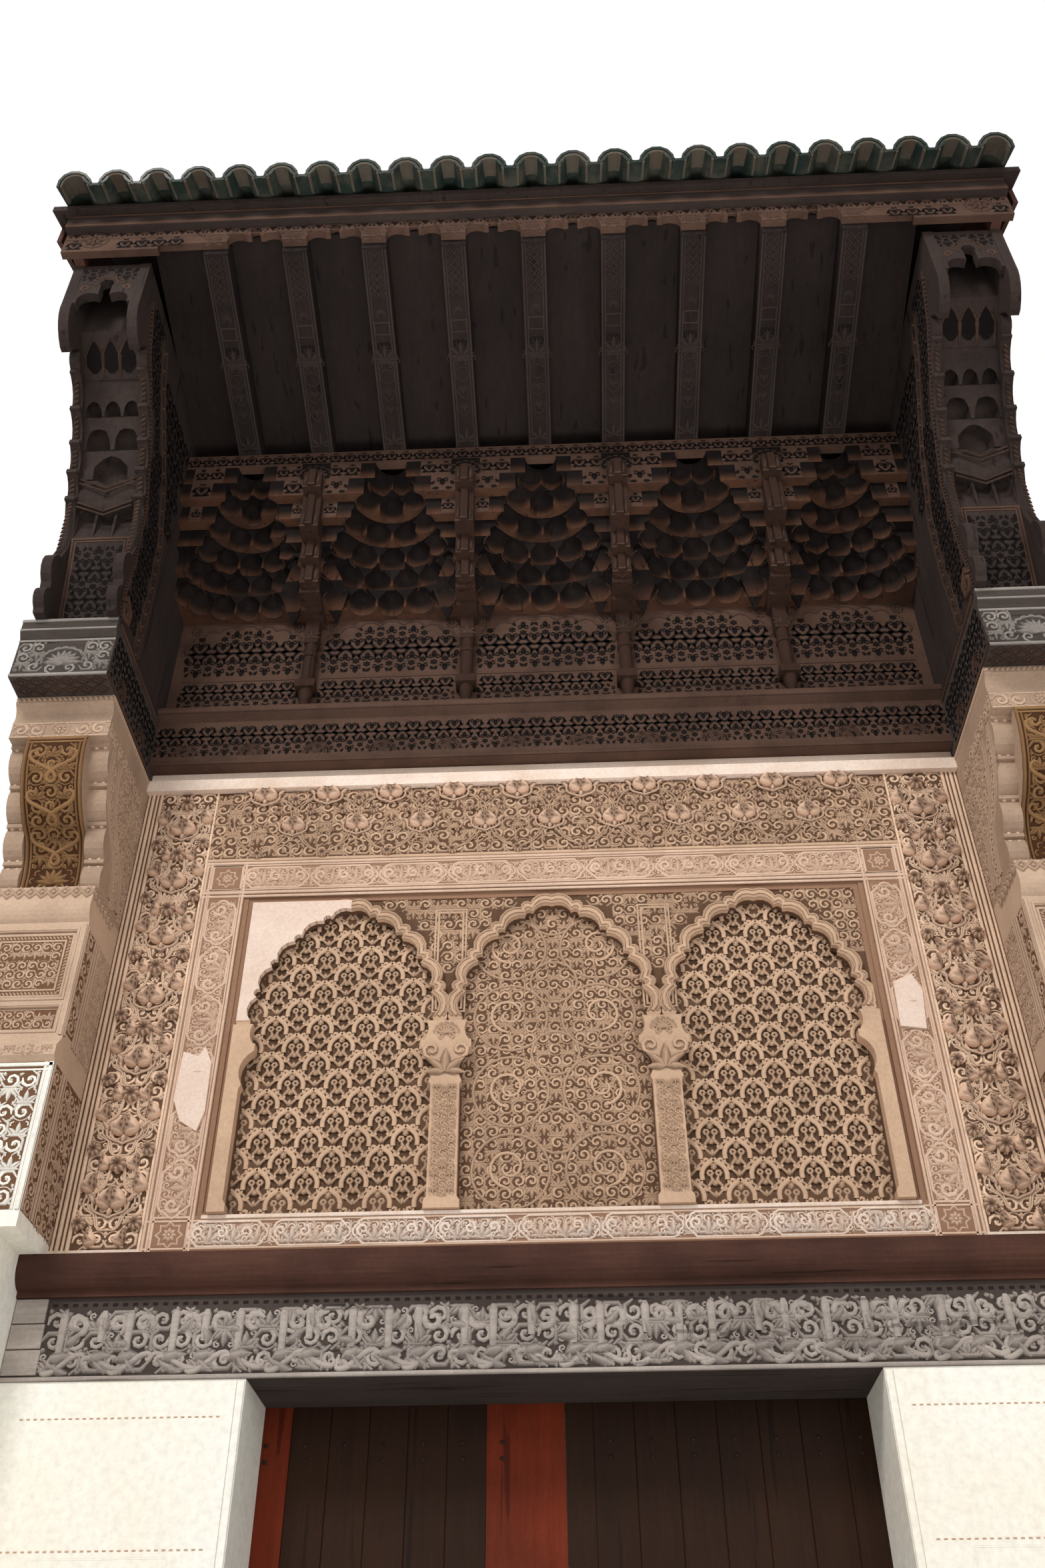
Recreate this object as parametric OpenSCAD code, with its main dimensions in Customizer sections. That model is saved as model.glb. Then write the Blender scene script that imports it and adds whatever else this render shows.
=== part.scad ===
/* [Bay] */
// Clear width between the two piers
bay_w = 5000; // [4700:10:5300]
// Width of each pier
pier_w = 570; // [540:10:640]
// How far the lower pier stands out from the wall
pier_out = 450; // [380:10:520]
// Thickness of the masonry wall
wall_t = 750; // [720:10:900]
// How far the wall rises above the top of the hood's roof
parapet_h = 200; // [100:10:400]

/* [Doorway] */
// Width of the doorway on the front
door_w = 2900; // [2600:10:3200]
// Height of the doorway
door_h = 3440; // [3200:10:3700]
// Depth of the front jambs, to where the leaves shut
reveal = 480; // [440:10:520]
// How much wider the opening is behind the leaves, on each side
rebate = 200; // [170:5:230]
// How much higher the opening is behind the leaves
head_rebate = 120; // [80:5:160]
// Height of the stone threshold
threshold_h = 60; // [40:5:80]
// How far the threshold stands out from the wall
threshold_out = 60; // [40:5:100]

/* [Door leaves] */
// Thickness of the planks
leaf_t = 60; // [50:1:70]
// Clearance round the leaves
leaf_gap = 8; // [6:1:12]
// How far the pivots stand outside the doorway's edge
pivot_in = 75; // [60:1:90]
// Radius of the pivot pins
pivot_r = 18; // [14:1:24]
// Length of the pivot pins
pivot_l = 40; // [30:1:50]
// Running clearance of a pin in its socket
pivot_gap = 0.3; // [0.2:0.1:0.5]
// Width of the ledges nailed across the back of the planks
ledge_w = 160; // [120:5:200]
// Thickness of those ledges
ledge_t = 45; // [35:1:55]
// Number of ledges on a leaf
ledge_n = 4; // [3:1:5]
// Width of the hinge stile
hinge_stile_w = 210; // [160:5:260]
// Width of the left leaf's broad meeting stile
meeting_stile_w = 370; // [300:5:420]
// Width of the right leaf's meeting stile
plain_stile_w = 130; // [100:5:180]

/* [Lintel] */
// Height of the carved timber lintel
lintel_h = 380; // [320:10:440]
// Height of the cornice over the lintel
cornice_h = 180; // [140:5:220]
// How far that cornice stands out
cornice_out = 100; // [80:5:130]
// Height of the timbers over the leaves, behind
rear_lintel_h = 300; // [240:10:360]
// How far the rear timbers bear on the wall at each end
rear_bearing = 250; // [200:10:300]
// How much wider the recess is below the stucco, on each side
niche_side = 100; // [60:5:140]

/* [Stucco] */
// Thickness of the carved stucco in front of the masonry
stucco_t = 100; // [80:5:120]
// Half of the arcade frame's outer width
frame_half = 2050; // [1980:10:2080]
// Width of the frame's upright band
frame_band = 310; // [280:5:340]
// Width of the stepped moulding inside the frame's band
frame_step = 60; // [40:5:80]
// Height of the frame's sill
sill_h = 215; // [180:5:250]
// Height of the arcade between sill and head
arcade_h = 1875; // [1700:25:1950]
// Height of the frame's head
head_h = 290; // [250:5:330]
// Height of the deep relief band over the frame
top_band_h = 535; // [480:5:600]
// Height of the plain ledge under the timber beam
ledge_h = 165; // [120:5:200]
// How far the plain ledge stands out
ledge_out = 45; // [30:5:60]
// How deep the arcade plate lies behind the frame's face
plate_back = 25; // [15:1:40]
// Thickness of the arcade plate
plate_t = 40; // [30:1:50]
// Width of the moulded ribbon round an arch
ribbon_w = 62; // [50:1:70]
// How far the ribbons stand out from the arcade plate
ribbon_out = 30; // [20:1:40]
// Width of a cell of the lattice in the side arches
cell_w = 250; // [230:5:280]
// Height of a cell of that lattice
cell_h = 220; // [200:5:240]
// Thickness of the bars between the cells
lattice_bar = 26; // [20:1:34]
// Depth of the lattice relief
lattice_d = 12; // [8:1:16]
// Width of the plate between two arches
arch_gap = 160; // [140:5:260]
// Height of the arches' springing over the sill
spring_h = 1085; // [900:5:1150]
// Width of a column shaft
column_w = 150; // [120:5:170]
// How far the columns stand out from the arcade plate
column_out = 60; // [40:5:80]
// Height of a column shaft
column_h = 685; // [600:5:750]
// Height of a column's capital
capital_h = 240; // [200:5:280]

/* [Piers] */
// Height of the framed block on the pier
block_h = 1060; // [960:10:1160]
// Height of the scroll console on the block
console_h = 930; // [850:10:1000]
// Width of the raised rims on the block
block_rim = 55; // [40:5:70]
// How deep the panels in the block are sunk
block_sink = 18; // [10:1:25]
// How far the console leans out at its top
console_out = 340; // [280:10:400]
// Width of the stepped flank on each side of a console
flank_w = 110; // [80:5:130]
// How far the flanks stand back from the console's face
flank_back = 70; // [50:5:90]
// Height of the carved strip over the console
strip_h = 110; // [90:5:130]
// Height of the cornice over that strip
pier_cornice_h = 170; // [130:5:200]

/* [Timber beam] */
// Height of the beam over the piers
beam_h = 440; // [380:10:500]
// How far the beam stands out from the wall over a pier
beam_out = 1000; // [950:10:1050]
// How much lower the beam starts over the piers than along the back wall
beam_drop = 80; // [40:5:110]
// Thickness of the beam along the back wall
back_beam_t = 90; // [70:5:110]
// Height of the ledge on the beam along the back wall
back_ledge_h = 90; // [70:5:110]

/* [Hood] */
// Height of the side brackets
bracket_h = 2410; // [2350:10:2460]
// Width of each side bracket, over both boards
bracket_w = 500; // [470:10:530]
// Thickness of each bracket board
board_t = 65; // [50:5:80]
// How far the tops of the side brackets stand out
hood_out = 1960; // [1900:10:2020]
// Height of the carved panel at the back of the hood
panel_h = 870; // [800:10:940]
// Thickness of that panel
panel_t = 40; // [30:1:60]
// Height of the stalactite vault over the panel
vault_h = 1000; // [940:10:1040]
// How far the stalactite vault stands out at its top
vault_out = 600; // [540:10:660]
// Number of bays across the vault
vault_bays = 5; // [4:1:5]
// Distance between the colonnettes
vault_pitch = 1050; // [1000:10:1080]
// Number of tiers of the vault
vault_tiers = 6; // [5:1:6]
// Radius of the colonnettes between the bays
colonnette_r = 50; // [40:1:60]
// Width of the brackets over the colonnettes
rib_w = 150; // [120:5:170]
// Height of the frieze over the vault
frieze_h = 140; // [100:5:180]
// Thickness of that frieze
frieze_t = 60; // [50:5:90]

/* [Roof] */
// Number of rafters
rafter_n = 9; // [7:1:11]
// Distance between rafters
rafter_pitch = 517; // [500:1:525]
// Width of a rafter
rafter_w = 160; // [130:5:190]
// Depth of a rafter
rafter_d = 180; // [150:5:210]
// Rise of the rafters towards the front, in degrees
rafter_tilt = 12.5; // [10:0.5:14]
// Thickness of the ceiling boards on the rafters
ceiling_t = 30; // [20:1:40]
// Height of the fascia's foot over the tops of the side brackets
fascia_up = 50; // [30:5:70]
// Height of the lobed fascia board
fascia_h = 200; // [180:5:230]
// Thickness of the fascia board
fascia_t = 50; // [35:1:60]
// How far the eave plank laps over the top of the fascia
eave_lap = 30; // [20:5:40]
// Height of the plank under the tiles
eave_h = 140; // [110:5:170]
// Pitch of the roof, in degrees
roof_pitch = 24; // [20:1:28]
// Thickness of the roof boards and their bedding
deck_t = 50; // [40:5:70]
// How far the roof boards pass the eave plank
deck_out = 60; // [40:5:100]
// How far the roof boards pass the eave plank at each side
deck_side = 90; // [60:5:120]
// Thickness of the sloping boards under the roof's side edges
barge_t = 30; // [20:1:45]
// Height of the sloping boards under the roof's side edges
barge_h = 170; // [120:5:220]
// Distance between rows of cover tiles
tile_pitch = 270; // [260:5:300]
// Radius of a cover tile
tile_r = 118; // [105:1:124]
// Thickness of a tile
tile_t = 18; // [14:1:22]
// How far the tiles pass the roof boards
tile_out = 150; // [100:5:180]

/* [Hidden] */
half_bay = bay_w / 2;
half_all = half_bay + pier_w;
half_door = door_w / 2;
half_rebate = half_door + rebate;
cornice_z = door_h + lintel_h;
stucco_z = cornice_z + cornice_h;
arcade_z = stucco_z + sill_h;
head_z = arcade_z + arcade_h;
top_band_z = head_z + head_h;
ledge_z = top_band_z + top_band_h;
back_beam_z = ledge_z + ledge_h;
beam_z = back_beam_z - beam_drop;
hood_z = beam_z + beam_h;
panel_z = hood_z + back_ledge_h;
vault_z = panel_z + panel_h;
frieze_z = vault_z + vault_h;
bracket_top = hood_z + bracket_h;
console_z = beam_z - pier_cornice_h - console_h;
block_z = console_z - block_h;
console_front = pier_out + console_out;
strip_z = console_z + console_h - strip_h;
arcade_half = frame_half - frame_band;
arch_pitch = 2 * arcade_half / 3;
arch_w = arch_pitch - arch_gap;
arch_rise = arcade_h - spring_h - ribbon_w - 10;
leaf_y = reveal + leaf_gap;
leaf_axis_y = leaf_y + leaf_t / 2;
pivot_x = half_door + pivot_in;
leaf_z = threshold_h + leaf_gap;
leaf_top = door_h + head_rebate - leaf_gap;
rafter_rise = tan(rafter_tilt);
rafter_rear_z = frieze_z + frieze_h;
fascia_z = bracket_top + fascia_up;
eave_z = fascia_z + fascia_h - eave_lap;
roof_rise = tan(roof_pitch);
deck_z = eave_z + eave_h;
deck_front = hood_out + 2 * fascia_t + deck_out;
tiles_front = deck_front + tile_out;
deck_half = half_all + deck_side;
roof_top = deck_z + (deck_front - deck_out) * roof_rise + (deck_t + tile_t + tile_r) / cos(roof_pitch);
wall_h = roof_top + parapet_h;
niche_half = half_bay + niche_side;
bracket_low = half_bay + board_t;
bracket_high = half_bay + bracket_w - board_t;
tier_h = vault_h / vault_tiers;
seat = 0.3;
$fn = 32;

// Points on a circular arc from a to b; bulge is its height as a share of the chord, to the left
function arc(a, b, bulge, n = 6) =
    let (
        d = b - a,
        chord = norm(d),
        h = bulge * chord,
        r = (chord * chord / 4 + h * h) / (2 * abs(h)),
        side = [-d.y, d.x] / chord,
        centre = (a + b) / 2 + side * (h - sign(h) * r),
        sweep = 2 * asin(min(1, chord / 2 / r)),
        full = abs(bulge) > 0.5 ? 360 - sweep : sweep,
        start = atan2(a.y - centre.y, a.x - centre.x)
    )
    [for (i = [0 : n]) centre + r * [cos(start - sign(h) * full * i / n), sin(start - sign(h) * full * i / n)]];

// Everything right of the middle is drawn once and turned over for the left.
module left() {
    mirror([1, 0, 0]) children();
}

// A box given by its low corner and its high corner.
module block(low, high) {
    translate(low) cube(high - low);
}

// A section drawn with depth from the wall's face as x and height as y, run along the wall from x0 to x1.
module run_x(x0, x1) {
    translate([x1, 0, 0]) rotate([90, 0, -90]) linear_extrude(x1 - x0) children();
}

// A front view drawn with width as x and height as y, standing from y0 back to y1.
module front_plate(y0, y1) {
    translate([0, y1, 0]) rotate([90, 0, 0]) linear_extrude(y1 - y0) children();
}

// Masonry
module wall_side() {
    color("antiquewhite") linear_extrude(door_h) polygon([
        [half_door, 0],
        [half_all, 0],
        [half_all, wall_t],
        [half_rebate, wall_t],
        [half_rebate, reveal],
        [half_door, reveal]]);
}

module wall_left() {
    left() wall_side();
}

module wall_right() {
    wall_side();
}

module wall_over_door() {
    color("antiquewhite") difference() {
        block([-half_all, 0, door_h], [half_all, wall_t, wall_h]);
        block([-niche_half, -1, door_h - 1], [niche_half, reveal, cornice_z]);
        block([-half_rebate, reveal - 1, door_h - 1], [half_rebate, wall_t + 1, door_h + head_rebate + 1]);
        block([-half_rebate - rear_bearing, reveal - 1, door_h + head_rebate],
            [half_rebate + rear_bearing, wall_t + 1, door_h + head_rebate + rear_lintel_h]);
        block([-half_bay, -1, stucco_z], [half_bay, stucco_t, back_beam_z]);
    }
}

module threshold() {
    color("lightgrey") difference() {
        linear_extrude(threshold_h) polygon([
            [-half_door, -threshold_out],
            [half_door, -threshold_out],
            [half_door, reveal],
            [half_rebate, reveal],
            [half_rebate, wall_t],
            [-half_rebate, wall_t],
            [-half_rebate, reveal],
            [-half_door, reveal]]);
        for (side = [-1, 1])
            translate([side * pivot_x, leaf_axis_y, leaf_z - pivot_l - pivot_gap])
                cylinder(h = pivot_l + leaf_gap, r = pivot_r + pivot_gap);
    }
}

// Timber over the doorway
module lintel() {
    color("dimgrey") block([-niche_half, 0, door_h], [niche_half, reveal, cornice_z]);
}

module rear_lintel() {
    low = door_h + head_rebate;
    color("dimgrey") difference() {
        block([-half_rebate - rear_bearing, reveal, low],
            [half_rebate + rear_bearing, wall_t, low + rear_lintel_h]);
        for (side = [-1, 1])
            translate([side * pivot_x, leaf_axis_y, low - 1])
                cylinder(h = pivot_l + pivot_gap + 1 - leaf_gap, r = pivot_r + pivot_gap);
    }
}

module lintel_cornice() {
    foot_out = cornice_out * 0.2;
    color("saddlebrown") run_x(-niche_half, niche_half) polygon(concat(
        [[0, cornice_z], [foot_out, cornice_z]],
        arc([foot_out, cornice_z + cornice_h * 0.15], [cornice_out, stucco_z - cornice_h * 0.25], -0.2),
        [[cornice_out, stucco_z], [0, stucco_z]]));
}

// Door leaves, drawn for the right side
module leaf_planks(stile) {
    color("saddlebrown") block([leaf_gap / 2 + stile, leaf_y, leaf_z],
        [pivot_x - hinge_stile_w, leaf_y + leaf_t, leaf_top]);
}

module leaf_stiles(stile) {
    color("sienna") {
        block([leaf_gap / 2, leaf_y, leaf_z], [leaf_gap / 2 + stile, leaf_y + leaf_t, leaf_top]);
        union() {
            block([pivot_x - hinge_stile_w, leaf_y, leaf_z], [pivot_x, leaf_y + leaf_t, leaf_top]);
            translate([pivot_x, leaf_axis_y, leaf_z]) cylinder(h = leaf_top - leaf_z, r = leaf_t / 2);
            translate([pivot_x, leaf_axis_y, leaf_z - pivot_l])
                cylinder(h = leaf_top - leaf_z + 2 * pivot_l, r = pivot_r);
        }
    }
}

module leaf_ledges() {
    step = (leaf_top - leaf_z - ledge_w) / (ledge_n - 0.5);
    edge = 10;
    color("sienna") for (i = [0 : ledge_n - 1])
        block([leaf_gap / 2 + edge, leaf_y + leaf_t, leaf_z + step * (i + 0.25)],
            [pivot_x - leaf_t, leaf_y + leaf_t + ledge_t, leaf_z + step * (i + 0.25) + ledge_w]);
}

module leaf_right_planks() {
    leaf_planks(plain_stile_w);
}

module leaf_right_stiles() {
    leaf_stiles(plain_stile_w);
}

module leaf_right_ledges() {
    leaf_ledges();
}

module leaf_left_planks() {
    left() leaf_planks(meeting_stile_w);
}

module leaf_left_stiles() {
    left() leaf_stiles(meeting_stile_w);
}

module leaf_left_ledges() {
    left() leaf_ledges();
}

// Stucco
module stucco_frame() {
    color("wheat") difference() {
        block([-frame_half, 0, stucco_z], [frame_half, stucco_t, top_band_z]);
        block([-arcade_half, -1, arcade_z], [arcade_half, stucco_t + 1, head_z]);
        for (i = [1 : 2])
            block([-arcade_half - frame_step * i / 2, -1, arcade_z + (2 - i) * frame_step / 4],
                [arcade_half + frame_step * i / 2, plate_back * (3 - i) / 3, head_z + frame_step * i / 2]);
    }
}

// Sum of the first n entries of a list
function total(list, n) = n == 0 ? 0 : list[n - 1] + total(list, n - 1);

// Broad and narrow lobes of an arch, from the springing to the crown
arch_lobes = [1, 0.35, 1, 0.35, 1, 0.35, 1, 0.35, 0.8];

// Right half of a pointed arch with a lobed edge, from the springing to the crown
function lobed_half(w, rise) =
    let (
        r = (w * w / 4 + rise * rise) / w,
        reach = asin(rise / r),
        n = len(arch_lobes),
        cusp = [for (i = [0 : n]) let (a = reach * total(arch_lobes, i) / total(arch_lobes, n))
            [r * cos(a) - (r - w / 2), r * sin(a)]]
    )
    [for (i = [0 : n - 1]) each arc(cusp[i], cusp[i + 1], arch_lobes[i] < 0.5 ? -0.45 : -0.24, 5)];

module lobed_arch(w, low, spring, rise) {
    half = lobed_half(w, rise);
    last = len(half) - 1;
    polygon(concat(
        [[-w / 2, low], [w / 2, low]],
        [for (p = half) [p.x, spring + p.y]],
        [for (i = [0 : last]) [-half[last - i].x, spring + half[last - i].y]]));
}

module arcade_plate() {
    color("wheat") front_plate(plate_back, plate_back + plate_t) difference() {
        translate([-arcade_half, arcade_z]) square([2 * arcade_half, arcade_h]);
        for (i = [-1 : 1])
            translate([i * arch_pitch, 0])
                lobed_arch(arch_w, arcade_z - 1, arcade_z + spring_h, arch_rise);
    }
}

// Moulded ribbons round the arches, ending in a volute on each side
module arch_ribbons() {
    spring = arcade_z + spring_h;
    color("tan") front_plate(plate_back - ribbon_out, plate_back) difference() {
        intersection() {
            translate([-arcade_half, arcade_z]) square([2 * arcade_half, arcade_h]);
            for (i = [-1 : 1])
                translate([i * arch_pitch, 0]) {
                    lobed_arch(arch_w + 2 * ribbon_w, spring, spring, arch_rise + ribbon_w);
                    for (side = [-1, 1])
                        translate([side * (arch_w / 2 + ribbon_w * 0.6), spring]) circle(r = ribbon_w * 0.65);
                }
        }
        for (i = [-1 : 1])
            translate([i * arch_pitch, 0])
                lobed_arch(arch_w, spring - ribbon_w, spring, arch_rise);
    }
}

// Front view of a column: base, shaft, capital, abacus and impost
module column_front(low, high) {
    w = column_w / 2;
    cap = low + column_h;
    top = cap + capital_h;
    foot_out = 15;
    foot_h = 40;
    ring = 12;
    abacus_w = w + 58;
    abacus_h = 45;
    right = concat(
        [[w + foot_out, low], [w + foot_out, low + foot_h], [w, low + foot_h * 1.5], [w, cap - 2 * ring]],
        [[w + ring, cap]],
        arc([w + ring / 2, cap + ring], [abacus_w - 3, top - abacus_h], 0.2),
        [[abacus_w, top - abacus_h], [abacus_w, top]],
        arc([abacus_w - ring, top], [abacus_w - 2 * ring, high], 0.15));
    last = len(right) - 1;
    polygon(concat(right, [for (i = [0 : last]) [-right[last - i].x, right[last - i].y]]));
}

// Whole columns between the arches, and half columns against the frame
module arcade_columns() {
    spring = arcade_z + spring_h - ribbon_w * 0.65 - 2;
    color("tan") {
        for (side = [-1, 1])
            translate([side * arch_pitch / 2, 0, 0])
                front_plate(plate_back - column_out, plate_back) column_front(arcade_z, spring);
        for (side = [-1, 1])
            front_plate(plate_back * 2 / 3 - column_out, plate_back) intersection() {
                translate([side * arch_pitch * 1.5, 0]) column_front(arcade_z, spring);
                translate([-arcade_half, arcade_z]) square([2 * arcade_half, arcade_h]);
            }
    }
}

// Pointed oval opening of a lattice cell
function cell_outline(x, y, w, h) =
    let (
        right = arc([x + w / 2, y], [x, y + h / 2], -0.12, 4),
        left = arc([x, y + h / 2], [x - w / 2, y], -0.12, 4)
    )
    concat(right, left, [for (p = concat(right, left)) [2 * x - p.x, 2 * y - p.y]]);

module lattice_ground(x0, x1) {
    color("tan") block([x0, plate_back + plate_t + lattice_d, arcade_z], [x1, stucco_t, head_z]);
}

// A net of staggered cells in front of the ground
module lattice_net(x0, x1) {
    columns = floor((x1 - x0) / cell_w);
    rows = floor(arcade_h / cell_h);
    low_x = (x0 + x1) / 2 - columns * cell_w / 2;
    low_z = arcade_z + (arcade_h - rows * cell_h) / 2;
    color("tan") front_plate(plate_back + plate_t, plate_back + plate_t + lattice_d) difference() {
        translate([x0, arcade_z]) square([x1 - x0, arcade_h]);
        for (j = [0 : 2 * rows - 2])
            for (i = [0 : columns - 1 - j % 2])
                polygon(cell_outline(low_x + (i + 0.5 + (j % 2) / 2) * cell_w, low_z + (j + 1) * cell_h / 2,
                    cell_w - lattice_bar, cell_h - lattice_bar));
    }
}

module lattice_left() {
    lattice_ground(-arcade_half, -arch_pitch / 2);
    lattice_net(-arcade_half, -arch_pitch / 2);
}

module lattice_centre() {
    color("tan") block([-arch_pitch / 2, plate_back + plate_t, arcade_z], [arch_pitch / 2, stucco_t, head_z]);
}

module lattice_right() {
    lattice_ground(arch_pitch / 2, arcade_half);
    lattice_net(arch_pitch / 2, arcade_half);
}

module side_band() {
    color("wheat") block([frame_half, 0, stucco_z], [half_bay, stucco_t, ledge_z]);
}

module side_band_left() {
    left() side_band();
}

module side_band_right() {
    side_band();
}

module top_band() {
    color("wheat") block([-frame_half, 0, top_band_z], [frame_half, stucco_t, ledge_z]);
}

module stucco_ledge() {
    color("ivory") run_x(-half_bay, half_bay) polygon([
        [-stucco_t, ledge_z],
        [ledge_out, ledge_z],
        [ledge_out, ledge_z + ledge_h / 2],
        [0, ledge_z + ledge_h / 2],
        [0, ledge_z + ledge_h],
        [-stucco_t, ledge_z + ledge_h]]);
}

// Piers, drawn for the right side
module pier_shaft() {
    color("wheat") union() {
        block([niche_half, -pier_out, 0], [half_all, 0, stucco_z]);
        block([half_bay, -pier_out, stucco_z], [half_all, 0, block_z]);
    }
}

// Framed block with a sunk strip below and a sunk square panel above
module pier_block() {
    foot = block_h * 0.13;
    foot_out = pier_out + 30;
    cap = block_h * 0.2;
    cap_out = pier_out + 20;
    face = pier_out - 15;
    low = block_z + foot + block_rim;
    high = console_z - cap - block_rim;
    split = low + (high - low) * 0.27;
    color("wheat") difference() {
        run_x(half_bay, half_all) polygon(concat(
            [[0, block_z], [pier_out, block_z], [foot_out, block_z + foot * 0.2]],
            [[foot_out, block_z + foot * 0.6], [face, block_z + foot], [face, console_z - cap]],
            arc([face - 5, console_z - cap], [cap_out, console_z - cap * 0.35], -0.15),
            [[cap_out, console_z], [0, console_z]]));
        for (z = [[low, split - block_rim / 2], [split + block_rim / 2, high]])
            block([half_bay + block_rim, -2 * pier_out, z[0]],
                [half_all - block_rim, block_sink - face, z[1]]);
    }
}

// Front edge of the console, leaning out in an S
console_edge =
    let (
        foot = [pier_out - 50, console_z],
        bend = [pier_out + 40, console_z + console_h * 0.35]
    )
    concat(arc(foot, bend, 0.12), arc(bend, [console_front, strip_z], -0.16));

// Stepped flank of a console: round steps one above the other
module console_flank(x) {
    steps = 4;
    cap = 25;
    lip = 12;
    foot = [pier_out - flank_back, console_z];
    reach = [console_front - flank_back, strip_z] - foot;
    at = [for (i = [0 : steps]) foot + [reach.x * pow(i / steps, 1.4), reach.y * i / steps]];
    run_x(x, x + flank_w) polygon(concat(
        [[0, console_z]],
        [for (i = [0 : steps - 1]) each concat(
            arc(at[i], at[i + 1] - [lip, cap], -0.22),
            [at[i + 1] + [lip, -cap], at[i + 1] + [lip, 0]])],
        [[0, strip_z]]));
}

module pier_console() {
    lip = console_front + 40;
    hollow = strip_z + strip_h;
    color("wheat") union() {
        run_x(half_bay + flank_w, half_all - flank_w)
            polygon(concat([[0, console_z]], console_edge, [[0, strip_z]]));
        console_flank(half_bay);
        console_flank(half_all - flank_w);
        run_x(half_bay, half_all) polygon(concat(
            [[0, strip_z], [console_front, strip_z], [console_front, hollow]],
            arc([console_front + 5, hollow], [lip, beam_z - 45], 0.2),
            [[lip, beam_z], [0, beam_z]]));
    }
}

module pier_left_shaft() {
    left() pier_shaft();
}

module pier_right_shaft() {
    pier_shaft();
}

module pier_left_block() {
    left() pier_block();
}

module pier_right_block() {
    pier_block();
}

module pier_left_console() {
    left() pier_console();
}

module pier_right_console() {
    pier_console();
}

// Timber beam
module beam_side() {
    lip_h = beam_h * 0.32;
    lip = beam_out + 30;
    color("saddlebrown") run_x(half_bay, half_all) polygon([
        [0, beam_z],
        [beam_out, beam_z],
        [beam_out, hood_z - lip_h],
        [lip, hood_z - lip_h * 0.7],
        [lip, hood_z],
        [0, hood_z]]);
}

module beam_left() {
    left() beam_side();
}

module beam_right() {
    beam_side();
}

module beam_back() {
    lip = back_beam_t + 50;
    color("saddlebrown") run_x(-half_bay, half_bay) polygon([
        [0, back_beam_z],
        [back_beam_t, back_beam_z],
        [back_beam_t, hood_z],
        [lip, hood_z + back_ledge_h / 3],
        [lip, panel_z],
        [0, panel_z]]);
}

// Back of the hood
module hood_panel() {
    color("peru") block([-half_bay, -panel_t, panel_z], [half_bay, 0, vault_z]);
}

// How far tier k of the vault stands out; the last two share one face
function tier_front(k) = vault_out * (0.55 + 0.45 * min(1, k / (vault_tiers - 2)));

// Place of colonnette i, counted from the left, and the edges of bay i
function rib_x(i) = (i - vault_bays / 2) * vault_pitch;
function bay_edges(i) = [i == 0 ? -half_bay : rib_x(i), i == vault_bays - 1 ? half_bay : rib_x(i + 1)];

// One tier over one bay: a slab with a round recess, and round headed cells along the recess
module vault_tier(k, w) {
    front = tier_front(k);
    shrink = 1 - k / (vault_tiers + 0.6);
    a = (w - rib_w) / 2 * shrink;
    cells = vault_tiers + 1 - k;
    r = 0.45 * PI * a / cells;
    b = (front - panel_t - 20 - r) * shrink;
    difference() {
        translate([-w / 2, 0, 0]) cube([w, front, tier_h]);
        translate([0, 0, -1]) linear_extrude(tier_h + 2)
            polygon([for (i = [0 : 12]) [a * cos(180 * i / 12), front + 1 - b * sin(180 * i / 12)]]);
        for (i = [0 : cells - 1])
            let (turn = 180 * (i + 0.5) / cells) translate([-a * cos(turn), front - b * sin(turn), -1]) {
                cylinder(h = tier_h + 1 - r, r = r);
                translate([0, 0, tier_h + 0.5 - r]) cylinder(h = r, r1 = r, r2 = r * 0.35);
            }
    }
}

// Stalactite vault: tiers of cells that come forward one over the other
module hood_vault() {
    color("peru") union() for (k = [0 : vault_tiers - 1])
        for (i = [0 : vault_bays - 1])
            let (edge = bay_edges(i)) translate([(edge[0] + edge[1]) / 2, 0, vault_z + k * tier_h])
                mirror([0, 1, 0]) vault_tier(k, edge[1] - edge[0]);
}

// First and last tier behind each step of the bracket over a colonnette
rib_steps = [[0, 0], [1, 1], [2, vault_tiers - 3], [vault_tiers - 2, vault_tiers - 2]];

// One rib of that bracket, from the vault's face out to a stepped front
module stepped_rib(w, out) {
    for (step = rib_steps)
        for (k = [step[0] : step[1]])
            block([-w / 2, -tier_front(step[1]) - out, vault_z + k * tier_h - seat],
                [w / 2, -tier_front(k) - seat, vault_z + (k + 1) * tier_h - seat]);
}

// Colonnette on a bulb, with a square head, stepped blocks and a ribbed bracket over it
module hood_colonnette() {
    shaft_y = -panel_t - colonnette_r;
    bulb_h = 150;
    bulb_top = panel_z + bulb_h;
    foot_h = 60;
    cap_h = 90;
    cap_z = vault_z - cap_h;
    square_h = 210;
    square_z = cap_z - square_h;
    ring_z = square_z - 2 * foot_h;
    half = rib_w * 0.45;
    union() {
        translate([0, shaft_y, panel_z])
            cylinder(h = bulb_h, r1 = colonnette_r * 0.5, r2 = colonnette_r);
        block([-colonnette_r * 1.3, -panel_t - 2.3 * colonnette_r, bulb_top],
            [colonnette_r * 1.3, -panel_t, bulb_top + foot_h]);
        translate([0, shaft_y, bulb_top]) cylinder(h = cap_z - bulb_top, r = colonnette_r * 0.85);
        translate([0, shaft_y, ring_z]) cylinder(h = foot_h / 2, r = colonnette_r);
        block([-colonnette_r * 0.9, -panel_t - 1.9 * colonnette_r, square_z],
            [colonnette_r * 0.9, -panel_t, cap_z]);
        block([-half, -tier_front(0) * 0.7, cap_z], [half, -panel_t, cap_z + cap_h / 2]);
        block([-half, -tier_front(0) - 20, cap_z + cap_h / 2], [half, -panel_t, vault_z - seat]);
        stepped_rib(rib_w * 0.84, 70);
        stepped_rib(rib_w * 0.32, 95);
    }
}

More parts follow.
